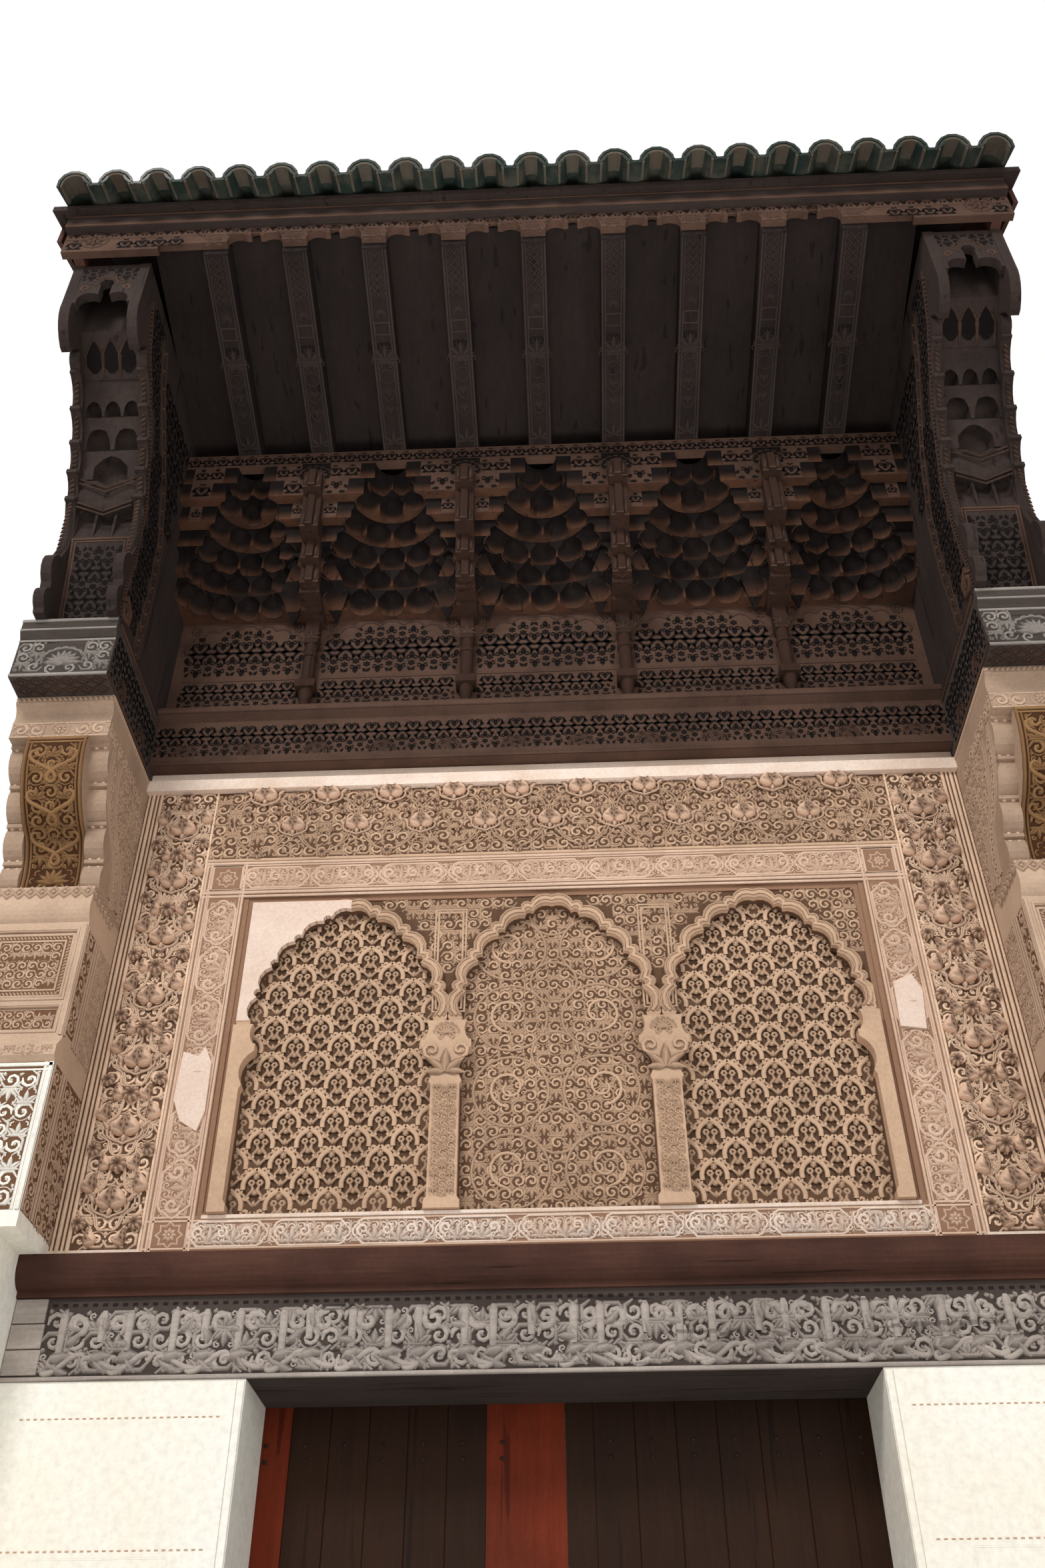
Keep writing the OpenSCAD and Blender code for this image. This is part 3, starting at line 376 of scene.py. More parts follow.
def scroll_field(x0, y0, x1, y1, cell, seed, inside=None):
    """Waving stems with scrolls on both sides, mirrored about the middle, over a field"""
    rng = random.Random(seed)
    columns = max(1, round((x1 - x0) / cell))
    rows = max(1, round((y1 - y0) / cell))
    dx, dy = (x1 - x0) / columns, (y1 - y0) / rows
    middle = (x0 + x1) / 2
    size = min(dx, dy) * 0.57
    kinds = {}
    strands = []
    for row in range(rows):
        y = y0 + (row + 0.5) * dy
        for column in range(columns):
            x = x0 + (column + 0.5) * dx
            if inside and not inside(x, y, size):
                continue
            mark = (row, round(abs(x - middle) / dx * 2))
            if mark not in kinds:
                kinds[mark] = rng.choice((0, 1, 2, 3))
            up = (round(abs(x - middle) / dx) + row) % 2
            upright = kinds[mark] < 3 and (mark[1] // 2 + row // 2) % 2
            turn = math.pi * (up + upright / 2) * (-1 if x < middle else 1)
            strands += moved(scroll_cell(size, kinds[mark]), x, y, turn, 1, x < middle)
            sway = size * (0.75 if up else -0.75)
            reach = 0.62 * (dy if upright else dx)
            stem = strand([(-reach, 0), (-reach / 2, sway), (reach / 2, sway), (reach, 0)],
                          [size * 0.1, size * 0.18, size * 0.18, size * 0.1])
            strands += moved(stem, x, y, math.pi / 2 if upright else 0)
    return strands


def rope(points, width, pitch):
    """A twisted rope: short slanting strands along a line"""
    strands = []
    lean = pitch * 0.45
    for (ax, ay), (bx, by) in zip(points, points[1:]):
        length = math.hypot(bx - ax, by - ay)
        count = max(1, round(length / pitch))
        ux, uy = (bx - ax) / length, (by - ay) / length
        for i in range(count):
            t = (i + 0.5) / count
            x, y = ax + (bx - ax) * t, ay + (by - ay) * t
            strands += strand([(x - ux * lean + uy * width, y - uy * lean - ux * width), (x, y),
                               (x + ux * lean - uy * width, y + uy * lean + ux * width)],
                              [pitch * 0.15, pitch * 0.42, pitch * 0.15])
    return strands


def diamonds(x0, y0, x1, y1, pitch, width):
    """A net of crossed slanting strands over a rectangle"""
    strands = []
    columns, rows = max(1, round((x1 - x0) / pitch)), max(1, round((y1 - y0) / pitch))
    dx, dy = (x1 - x0) / columns, (y1 - y0) / rows
    for i in range(columns):
        for j in range(rows):
            x, y = x0 + (i + 0.5) * dx, y0 + (j + 0.5) * dy
            strands += strand([(x - dx / 2, y), (x, y - dy / 2), (x + dx / 2, y), (x, y + dy / 2)], width,
                              closed=True)
            strands += moved(button(min(dx, dy) * 0.16), x, y)
    return strands


def incised(x0, y0, x1, y1, cell, inside=None):
    """Dark cuts for shallow carving of flat timber, flat strips whose dark is painted shade with dirt:
    staggered hearts of scrolled stems, with leaves
    """
    columns, rows = max(1, round((x1 - x0) / cell)), max(1, round((y1 - y0) / cell * 1.25))
    dx, dy = (x1 - x0) / columns, (y1 - y0) / rows
    size = min(dx, dy * 1.2) * 0.46
    motif = thick(heart(size), 1.25) + moved(flower(size * 0.42, 6), 0, size * 1.12)
    motif += mirrored(moved(leaf(size * 0.62, size * 0.17, 0.4), size * 0.3, -size * 0.92, -1.2))
    motif += mirrored(moved(leaf(size * 0.55, size * 0.15, -0.4), size * 0.98, -size * 0.35, 0.1))
    motif = thick(motif, 1, "pit")
    strands = []
    for row in range(rows):
        for column in range(columns + row % 2):
            x, y = x0 + (column + 0.5 - row % 2 / 2) * dx, y0 + (row + 0.5) * dy
            if inside and not inside(x, y, dy * 0.5):
                continue
            strands += moved(motif, x, y, math.pi * (row % 2))
    return clipped(strands, x0, y0, x1, y1)


# Surfaces: each returns a function that takes local points (across, up, out) to places in the frame
def flat(origin, across, up):
    origin, across, up = (np.array(v, dtype=float) for v in (origin, across, up))
    out = np.cross(across, up)

    def place(local):
        return origin + local[:, 0:1] * across + local[:, 1:2] * up + local[:, 2:3] * out
    return place


def front(depth):
    """The plane that faces the street at a depth behind the wall's face"""
    return flat((0, depth, 0), (1, 0, 0), (0, 0, 1))


def facing_in(side, x):
    """A plane square to the wall that faces the bay's middle; across is the distance from the wall's face
    on the right side, and its negative on the left"""
    return flat((side * x, 0, 0), (0, -side, 0), (0, 0, 1))


def soffit(height):
    """A plane that faces the ground; up is the distance from the wall's face"""
    return flat((0, 0, height), (1, 0, 0), (0, -1, 0))


def bent(points):
    """A surface that follows a line of points and runs straight across the bay"""
    line = np.array(points, dtype=float)
    across = np.array((1.0, 0.0, 0.0))
    steps = np.linalg.norm(np.diff(line, axis=0), axis=1)
    length = np.concatenate(([0], np.cumsum(steps)))
    heading = np.gradient(line, length, axis=0)

    def place(local):
        at = np.stack([np.interp(local[:, 1], length, line[:, k]) for k in range(3)], axis=1)
        along = np.stack([np.interp(local[:, 1], length, heading[:, k]) for k in range(3)], axis=1)
        along /= np.linalg.norm(along, axis=1, keepdims=True)
        out = np.cross(across, along)
        return at + local[:, 0:1] * across + out * local[:, 2:3]
    place.length = length[-1]
    return place


def strand_mesh(profile, strands, rise):
    """Sweeps a profile along all strands of that profile and returns a mesh"""
    section = bpy.data.curves.new("section", "CURVE")
    section.dimensions = "2D"
    line = section.splines.new("POLY")
    line.points.add(len(PROFILES[profile]) - 1)
    for point, (x, y) in zip(line.points, PROFILES[profile]):
        point.co = (x, y * rise, 0, 1)
    section_object = bpy.data.objects.new("section", section)
    curve = bpy.data.curves.new("strands", "CURVE")
    curve.dimensions = "2D"
    curve.fill_mode = "NONE"
    curve.bevel_mode = "OBJECT"
    curve.bevel_object = section_object
    for closed, points in strands:
        line = curve.splines.new("POLY")
        line.points.add(len(points) - 1)
        line.points.foreach_set("co", [value for x, y, _ in points for value in (x, y, 0, 1)])
        line.points.foreach_set("radius", [half for _, _, half in points])
        line.use_cyclic_u = closed
    curve_object = bpy.data.objects.new("strands", curve)
    for item in (section_object, curve_object):
        bpy.context.scene.collection.objects.link(item)
    mesh = bpy.data.meshes.new_from_object(curve_object.evaluated_get(bpy.context.evaluated_depsgraph_get()))
    for item, data in ((curve_object, curve), (section_object, section)):
        bpy.data.objects.remove(item)
        bpy.data.curves.remove(data)
    return mesh


def local_points(mesh):
    local = np.empty(len(mesh.vertices) * 3)
    mesh.vertices.foreach_get("co", local)
    return local.reshape(-1, 3)


class Piece:
    """Gathers carving and plain solids in one mesh and makes an object of it; on the left side (-1) strands
    are drawn as on the right and mirrored"""

    def __init__(self, name, finish, body="root", side=1):
        self.name, self.finish, self.body, self.side = name, finish, body, side
        self.bm = bmesh.new()
        self.bm.verts.layers.float.new("hollow")

    def carve(self, strands, place, rise=1.0):
        if self.side < 0:
            strands = moved(strands, flip=True)
        for profile in PROFILES:
            chosen = [(closed, points) for kind, closed, points in strands if kind == profile]
            if not chosen:
                continue
            mesh = strand_mesh(profile, chosen, rise)
            local = local_points(mesh)
            # Painted shade with dirt: the foot of each strand is darkened by 0.55, and a pit all over
            hollow = np.where(local[:, 2] < 1e-5, 0.55, 0.0)
            if profile == "pit":
                hollow[:] = 1
                local[:, 2] = 0.002
            mesh.vertices.foreach_set("co", place(local).ravel())
            layer = mesh.attributes.new("hollow", "FLOAT", "POINT")
            layer.data.foreach_set("value", hollow)
            self.bm.from_mesh(mesh)
            bpy.data.meshes.remove(mesh)
        return self

    def stamp(self, template, place, x=0.0, y=0.0, turn=0.0, size=1.0):
        """Adds a copy of a small solid, turned and scaled in the surface's own plane"""
        mesh = template.copy()
        local = local_points(mesh) * size
        cos, sin = math.cos(turn), math.sin(turn)
        spun = np.stack([x + local[:, 0] * cos - local[:, 1] * sin,
                         y + local[:, 0] * sin + local[:, 1] * cos, local[:, 2]], axis=1)
        mesh.vertices.foreach_set("co", place(spun).ravel())
        self.bm.from_mesh(mesh)
        bpy.data.meshes.remove(mesh)

    def block(self, low, high, bevel=0.0):
        """Adds a box, with its edges rounded if a bevel is given"""
        low, high = Vector(low), Vector(high)
        turn = Matrix.Translation((low + high) / 2) @ Matrix.Diagonal((*(high - low), 1))
        made = bmesh.ops.create_cube(self.bm, size=1, matrix=turn)
        if bevel:
            edges = list({edge for vert in made["verts"] for edge in vert.link_edges})
            bmesh.ops.bevel(self.bm, geom=edges, offset=bevel, affect="EDGES", segments=2, profile=0.5,
                            material=-1)

    def slab(self, points, place, thickness):
        """Adds a flat plate with the given outline, raised from a surface"""
        corners = place(np.array([(x, y, 0) for x, y in points], dtype=float))
        raised = place(np.array([(x, y, thickness) for x, y in points], dtype=float))
        face = self.bm.faces.new([self.bm.verts.new(corner) for corner in corners])
        lifted = bmesh.ops.extrude_face_region(self.bm, geom=[face])
        verts = [item for item in lifted["geom"] if isinstance(item, bmesh.types.BMVert)]
        bmesh.ops.translate(self.bm, verts=verts, vec=Vector(raised[0] - corners[0]))
        faces = {item for vert in verts for item in vert.link_faces} | {face}
        bmesh.ops.recalc_face_normals(self.bm, faces=list(faces))

    def done(self, replaces=()):
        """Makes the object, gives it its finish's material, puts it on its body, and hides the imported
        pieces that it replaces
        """
        mesh = bpy.data.meshes.new(self.name)
        self.bm.to_mesh(mesh)
        self.bm.free()
        piece = bpy.data.objects.new(self.name, mesh)
        bpy.context.scene.collection.objects.link(piece)
        slot, material = FINISHES[self.finish]
        mesh.materials.append(material)
        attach(piece, self.body)
        if replaces:
            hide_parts(*replaces)


# Small solids that are stamped many times; their first axis is across, the second up, the third out
def template(name, bm):
    mesh = bpy.data.meshes.new(name)
    bm.to_mesh(mesh)
    bm.free()
    return mesh


def cone_template(side):
    """Drop with its point up, one unit tall, with a net of small hollows on one side, darkened as painted
    shade
    """
    around, rings = 16, 10
    bm = bmesh.new()
    hollow = bm.verts.layers.float.new("hollow")
    bmesh.ops.create_uvsphere(bm, u_segments=around, v_segments=rings, radius=1,
                              matrix=Matrix.Rotation(-math.pi / 2, 4, "X"))
    for vert in bm.verts:
        level = round(math.acos(max(-1, min(1, vert.co.y))) / math.pi * rings)
        spoke = round(math.atan2(vert.co.z, vert.co.x) / FULL * around)
        if 1 < level < rings - 2 and vert.co.x * side > -0.35:
            dark = (spoke + level // 2) % 2 == 0 and level % 2 == 0
            vert.co *= 0.82 if dark else 0.95
            # Painted shade: the sunk cells of the net fully dark, the rest of that side half dark
            vert[hollow] = 1 if dark else 0.45
        taper = 0.62 - 0.36 * vert.co.y
        vert.co = Vector((vert.co.x * taper, vert.co.y + 0.95, vert.co.z * taper)) / 2
    return template("cone", bm)


def flower_template():
    """Round cup of petals with a dark middle, one unit across; the dark of the middle and of the grooves is
    painted shade
    """
    around, rings = 16, 8
    bm = bmesh.new()
    hollow = bm.verts.layers.float.new("hollow")
    bmesh.ops.create_uvsphere(bm, u_segments=around, v_segments=rings, radius=0.5)
    for vert in bm.verts:
        level = round(math.acos(max(-1, min(1, vert.co.z * 2))) / math.pi * rings)
        spoke = round(math.atan2(vert.co.y, vert.co.x) / FULL * around)
        # Grooves between the petals and the sunk middle are darkened: painted shade
        if spoke % 2 and 0 < level < 6:
            vert.co.x *= 0.86
            vert.co.y *= 0.86
            vert.co.z *= 0.7
            vert[hollow] = 0.7
        if level < 2:
            vert.co.z *= 0.45 + 0.25 * level
            vert[hollow] = 1 - 0.3 * level
        vert.co.z = vert.co.z * 0.75 + 0.12
    return template("flower", bm)


def knob_template():
    """Round head, one unit across"""
    bm = bmesh.new()
    bm.verts.layers.float.new("hollow")
    bmesh.ops.create_uvsphere(bm, u_segments=8, v_segments=5, radius=0.5)
    return template("knob", bm)


# Materials
class Shader:
    """Adds nodes to a tree; what a socket is given is a number, a colour or another socket"""

    def __init__(self, tree):
        self.tree = tree

    def node(self, kind, inputs=None, **settings):
        node = self.tree.nodes.new(kind)
        for key, value in settings.items():
            setattr(node, key, value)
        for key, value in (inputs or {}).items():
            if isinstance(value, bpy.types.NodeSocket):
                self.tree.links.new(value, node.inputs[key])
            else:
                node.inputs[key].default_value = value
        return node

    def mix(self, factor, a, b, blend="MIX"):
        node = self.node("ShaderNodeMix", {0: factor, 6: a, 7: b}, data_type="RGBA", blend_type=blend)
        return node.outputs[2]

    def darken(self, colour, shade):
        """A colour multiplied by a grey"""
        grey = self.node("ShaderNodeCombineColor", {0: shade, 1: shade, 2: shade})
        return self.mix(1.0, colour, grey.outputs[0], "MULTIPLY")

    def maths(self, operation, a, b=0.0):
        return self.node("ShaderNodeMath", {0: a, 1: b}, operation=operation).outputs[0]

    def noise(self, vector, scale, detail, roughness):
        inputs = {"Vector": vector, "Scale": scale, "Detail": detail, "Roughness": roughness}
        return self.node("ShaderNodeTexNoise", inputs).outputs["Fac"]

    def between(self, value, low, high):
        """A smooth step from 0 at low to 1 at high"""
        node = self.node("ShaderNodeMapRange", {"Value": value, "From Min": low, "From Max": high},
                         interpolation_type="SMOOTHSTEP")
        return node.outputs["Result"]

    def place(self):
        return self.node("ShaderNodeTexCoord").outputs["Object"]

    def group(self, name, inputs):
        return self.node("ShaderNodeGroup", inputs, node_tree=bpy.data.node_groups[name])

    def ends(self, node, outputs):
        """Links what a group puts out, or a material's surface, to its end node"""
        for name, output in outputs.items():
            self.tree.links.new(output, node.inputs[name])


def new_group(name, inputs, outputs):
    """A shader node group with named sockets; returns its builder, its inputs and its end node"""
    tree = bpy.data.node_groups.new(name, "ShaderNodeTree")
    for label, kind, default in inputs:
        socket = tree.interface.new_socket(label, in_out="INPUT", socket_type=kind)
        socket.default_value = default
    for label, kind in outputs:
        tree.interface.new_socket(label, in_out="OUTPUT", socket_type=kind)
    build = Shader(tree)
    return build, build.node("NodeGroupInput").outputs, build.node("NodeGroupOutput")


def carved_colour_group():
    """Dark in the hollows of the carving, light on its raised edges; the dark is painted shade with dirt"""
    build, given, end = new_group(
        "Carved Colour",
        [("Top", "NodeSocketColor", (1, 1, 1, 1)), ("Hollow", "NodeSocketColor", (0, 0, 0, 1)),
         ("Ground", "NodeSocketFloat", 0.0)],
        [("Color", "NodeSocketColor"), ("Depth", "NodeSocketFloat")])
    # Weight of that painted shade with dirt, stored on the points of the carving
    carved = build.node("ShaderNodeAttribute", attribute_name="hollow").outputs["Fac"]
    depth = build.maths("MAXIMUM", carved, given["Ground"])
    colour = build.mix(build.maths("POWER", depth, 0.7), given["Top"], given["Hollow"])
    build.ends(end, {"Color": colour, "Depth": depth})


def mottle_group():
    """Uneven tone: broad clouds, small specks and their height"""
    build, given, end = new_group(
        "Mottle",
        [("Color", "NodeSocketColor", (1, 1, 1, 1)), ("Stain", "NodeSocketColor", (0.5, 0.5, 0.5, 1)),
         ("Cloud Scale", "NodeSocketFloat", 1.5), ("Speck Scale", "NodeSocketFloat", 60.0),
         ("Amount", "NodeSocketFloat", 0.3)],
        [("Color", "NodeSocketColor"), ("Height", "NodeSocketFloat")])
    place = build.place()
    cloud = build.between(build.noise(place, given["Cloud Scale"], 5.0, 0.6), 0.38, 0.68)
    speck = build.noise(place, given["Speck Scale"], 4.0, 0.7)
    stained = build.mix(build.maths("MULTIPLY", cloud, given["Amount"]), given["Color"], given["Stain"])
    shade = build.maths("ADD", build.maths("MULTIPLY", speck, 0.5), 0.75)
    height = build.maths("ADD", speck, build.maths("MULTIPLY", cloud, 0.4))
    build.ends(end, {"Color": build.darken(stained, shade), "Height": height})


def grain_group():
    """Long wood fibres with a few open cracks"""
    build, given, end = new_group(
        "Grain",
        [("Color", "NodeSocketColor", (1, 1, 1, 1)), ("Stretch", "NodeSocketVector", (1, 1, 1)),
         ("Crack", "NodeSocketFloat", 0.5)],
        [("Color", "NodeSocketColor"), ("Height", "NodeSocketFloat")])
    along = build.node("ShaderNodeVectorMath", {0: build.place(), 1: given["Stretch"]},
                       operation="MULTIPLY").outputs["Vector"]
    fibre = build.noise(along, 2.2, 6.0, 0.65)
    broad = build.noise(along, 0.6, 3.0, 0.5)
    crack = build.maths("MULTIPLY", build.between(build.noise(along, 0.9, 2.0, 0.4), 0.66, 0.7),
                        given["Crack"])
    shade = build.maths("ADD", build.maths("MULTIPLY", fibre, 0.7), build.maths("MULTIPLY", broad, 0.5))
    shaded = build.darken(given["Color"], build.maths("ADD", shade, 0.4))
    open_crack = build.mix(1.0, shaded, (0.12, 0.1, 0.09, 1), "MULTIPLY")
    build.ends(end, {"Color": build.mix(crack, shaded, open_crack),
                     "Height": build.maths("SUBTRACT", fibre, crack)})


FINISHES = {}

ALONG_X, ALONG_Y, ALONG_Z = (1.5, 26, 26), (26, 1.5, 26), (26, 26, 1.5)


def solid(colour):
    return (*colour, 1)


def add_finish(name, slot, top, hollow, ground=0.0, roughness=0.85, grain=None, stain=None, amount=0.3,
               clouds=1.5, specks=60.0, bump=0.3, coat=0.0, tiers=None):
    """A Principled material: carving colour, then stains, then grain, with bump from what varies; with tiers
    (a height and a step) the upper part of each step is dark, as painted shade"""
    material = bpy.data.materials.new(name)
    material.use_nodes = True
    build = Shader(material.node_tree)
    material.node_tree.nodes.clear()
    # Painted shade: darker up each step of the vault, towards the hollow colour
    if tiers:
        height = build.node("ShaderNodeSeparateXYZ", {0: build.place()}).outputs["Z"]
        level = build.maths("DIVIDE", build.maths("SUBTRACT", height, tiers[0]), tiers[1])
        ground = build.between(build.maths("FRACT", level), 0.05, 0.6)
    base = build.group("Carved Colour", {"Top": solid(top), "Hollow": solid(hollow), "Ground": ground})
    skin = build.group("Mottle", {"Color": base.outputs["Color"], "Stain": solid(stain or hollow),
                                  "Cloud Scale": clouds, "Speck Scale": specks, "Amount": amount})
    if grain:
        skin = build.group("Grain", {"Color": skin.outputs["Color"], "Stretch": grain, "Crack": 0.5})
    raised = build.node("ShaderNodeBump",
                        {"Height": skin.outputs["Height"], "Strength": bump, "Distance": 0.004})
    surface = build.node("ShaderNodeBsdfPrincipled",
                         {"Base Color": skin.outputs["Color"], "Roughness": roughness, "Coat Weight": coat,
                          "Normal": raised.outputs["Normal"], "Specular IOR Level": 0.12})
    build.ends(build.node("ShaderNodeOutputMaterial"), {"Surface": surface.outputs["BSDF"]})
    FINISHES[name] = (slot, material)


def add_finishes(c):
    """All materials; c holds the colours"""
    carved_colour_group()
    mottle_group()
    grain_group()
    # bare is the share of the hollow colour on a bare surface: painted shade with dirt on the ground between
    # the carving
    for name, top, hollow, bare, amount in (
            ("stucco", c.stucco, c.stucco_hollow, 0.0, 0.18),
            ("stucco_ground", c.stucco, c.stucco_hollow, 0.85, 0.1),
            ("stucco_sunny", c.sunny, c.stucco_hollow, 0.0, 0.18),
            ("buds", c.bud, c.stucco_hollow, 0.0, 0.15),
            ("frame", c.frame, c.frame_hollow, 0.0, 0.25),
            ("frame_ground", c.frame, c.frame_hollow, 0.9, 0.1),
            ("shaft_carving", c.plaster, c.pier_hollow, 0.0, 0.2),
            ("pier_carving", c.pier, c.pier_hollow, 0.0, 0.2),
            ("console_carving", c.console, c.console_hollow, 0.0, 0.25),
            ("console_ground", c.pier, c.console_hollow, 0.2, 0.25)):
        add_finish(name, "carved_stucco", top, hollow, bare, amount=amount, clouds=2.4)
    # bare is the share of the hollow colour on a bare surface: painted shade with dirt on the ground between
    # the carving
    for name, slot, top, hollow, bare, grain, amount in (
            ("timber", "weathered_timber", c.timber, c.timber_hollow, 0.0, ALONG_X, 0.3),
            ("timber_ground", "weathered_timber", c.timber, c.timber_hollow, 0.85, ALONG_X, 0.3),
            ("silver", "weathered_timber", c.silver, c.timber_hollow, 0.0, ALONG_X, 0.3),
            ("silver_ground", "weathered_timber", c.silver, c.timber_hollow, 0.8, ALONG_X, 0.3),
            ("cedar_red", "cedar", c.cedar_red, c.cedar_hollow, 0.0, ALONG_Z, 0.3),
            ("cedar_soffit", "cedar", c.cedar_plain, c.cedar_hollow, 0.0, None, 0.3),
            ("cedar_x", "cedar", c.cedar_plain, c.cedar_hollow, 0.0, ALONG_X, 0.3),
            ("cedar_y", "cedar", c.cedar_plain, c.cedar_hollow, 0.0, ALONG_Y, 0.3),
            ("cedar_z", "cedar", c.cedar_plain, c.cedar_hollow, 0.0, ALONG_Z, 0.3),
            ("shade_y", "cedar", c.shade, c.cedar_hollow, 0.0, ALONG_Y, 0.4),
            ("red_x", "red_plank", c.red_plank, c.cedar_hollow, 0.0, ALONG_X, 0.4),
            ("red_y", "red_plank", c.red_plank, c.cedar_hollow, 0.0, ALONG_Y, 0.4)):
        add_finish(name, slot, top, hollow, bare, grain=grain, amount=amount)
    add_finish("plaster", "plaster", c.plaster, c.stucco_hollow, stain=c.plaster_blotch, amount=0.35,
               clouds=0.9, specks=25.0, bump=0.5)
    add_finish("stucco_pale", "carved_stucco", c.stucco_pale, c.stucco_hollow, stain=c.stucco, amount=0.5,
               clouds=2.0)
    add_finish("repair", "plaster", c.repair, c.stucco_hollow, stain=c.stucco_pale, amount=0.5, clouds=3.0)
    add_finish("cedar", "cedar", c.cedar, c.cedar_hollow, amount=0.35, clouds=3.0, bump=0.2)
    # Lighter cedar for edges: painted highlight
    add_finish("cedar_highlight", "cedar", c.cedar_highlight, c.cedar_hollow, grain=ALONG_X, amount=0.5, clouds=4.0)
    # The vault's cells get painted shade in the upper part of each tier
    low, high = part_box("hood_vault")
    add_finish("vault", "cedar", c.vault, c.cedar_hollow, grain=ALONG_Z, amount=0.5, clouds=4.0,
               stain=c.shade, tiers=(low.z, (high.z - low.z) / VAULT_TIERS))
    add_finish("planks", "door_planks", c.door_plank, c.cedar_hollow, grain=ALONG_Z, roughness=0.6)
    add_finish("stiles", "door_stiles", c.door_red, c.door_plank, grain=ALONG_Z, roughness=0.6, amount=0.4)
    add_finish("iron", "door_planks", c.cedar_plain, c.cedar_hollow, roughness=0.5, amount=0.6, clouds=40.0)
    add_finish("glaze", "glazed_tile", c.glaze, c.lime, stain=c.lime, amount=0.6, clouds=5.0, roughness=0.5,
               coat=0.1)
    add_finish("lime", "glazed_tile", c.lime, c.stucco_hollow, amount=0.4, clouds=6.0)
    add_finish("stone", "threshold_stone", c.stone, c.stucco_hollow, amount=0.3, clouds=3.0, bump=0.6)


NODE_FINISHES = {
    "plaster": ["wall_left", "wall_right", "wall_over_door", "pier_left_shaft", "pier_right_shaft"],
    "stone": ["threshold"],
    "timber_ground": ["lintel"],
    "red_x": ["lintel_cornice"],
    "timber": ["rear_lintel"],
    "planks": ["leaf_left_planks", "leaf_right_planks", "leaf_left_ledges", "leaf_right_ledges",
               "leaf_right_stiles"],
    "stiles": ["leaf_left_stiles"],
    "stucco_ground": ["arcade_plate", "lattice_left", "lattice_centre", "lattice_right", "side_band_left",
                      "side_band_right", "top_band"],
    "frame_ground": ["stucco_frame"],
    "stucco": ["arch_ribbons", "arcade_columns"],
    "pier_carving": ["pier_left_block", "pier_right_block"],
    "console_ground": ["pier_left_console", "pier_right_console"],
    "cedar_red": ["hood_colonnettes"],
    "vault": ["hood_vault"],
    "stucco_pale": ["stucco_ledge"],
    "cedar": ["beam_back", "hood_panel", "fascia", "rear_frieze"],
    "silver_ground": ["beam_left", "beam_right"],
    "cedar_z": ["bracket_left_boards", "bracket_right_boards",
                "bracket_left_cells", "bracket_right_cells", "bracket_plates"],
    "cedar_x": ["eave_plank"],
    "cedar_y": ["roof_deck"],
    "shade_y": ["rafters", "ceiling_boards"],
    "red_y": ["gable_boards", "barge_boards"],
    "glaze": ["roof_tiles"],
}


class PORTAL_OT_finishes(bpy.types.Operator):
    """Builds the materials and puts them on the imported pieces"""
    bl_idname = "portal.finishes"
    bl_label = "Finishes"

    def execute(self, context):
        add_finishes(context.scene.portal_colours)
        for finish, nodes in NODE_FINISHES.items():
            for node in nodes:
                mesh = bpy.data.objects[node].data
                mesh.materials.clear()
                mesh.materials.append(FINISHES[finish][1])
        return {"FINISHED"}


# Stucco
def arch_heights(sizes):
    """Heights of the springing and the crown of the arches, and the rise of their clear opening"""
    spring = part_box("arch_ribbons")[0].z + sizes.ribbon_width * 0.65
    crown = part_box("arcade_plate")[1].z - 0.01
    return spring, crown, crown - spring - sizes.ribbon_width


def arch_outline(sizes, grow):
    """Right half of the lobed arch, from the springing to the crown"""
    spring, _, rise = arch_heights(sizes)
    lobes = (1, 0.35, 1, 0.35, 1, 0.35, 1, 0.35, 0.8)
    width = sizes.arch_width + 2 * grow
    rise = rise + grow
    radius = (width * width / 4 + rise * rise) / width
    reach = math.asin(min(1, rise / radius))
    points, at = [], 0.0
    for lobe in lobes:
        ends = []
        for share in (at, at + lobe):
            angle = reach * share / sum(lobes)
            ends.append((radius * math.cos(angle) - radius + width / 2, spring + radius * math.sin(angle)))
        points += arc(ends[0], ends[1], -0.45 if lobe < 0.5 else -0.24)
        at += lobe
    return points


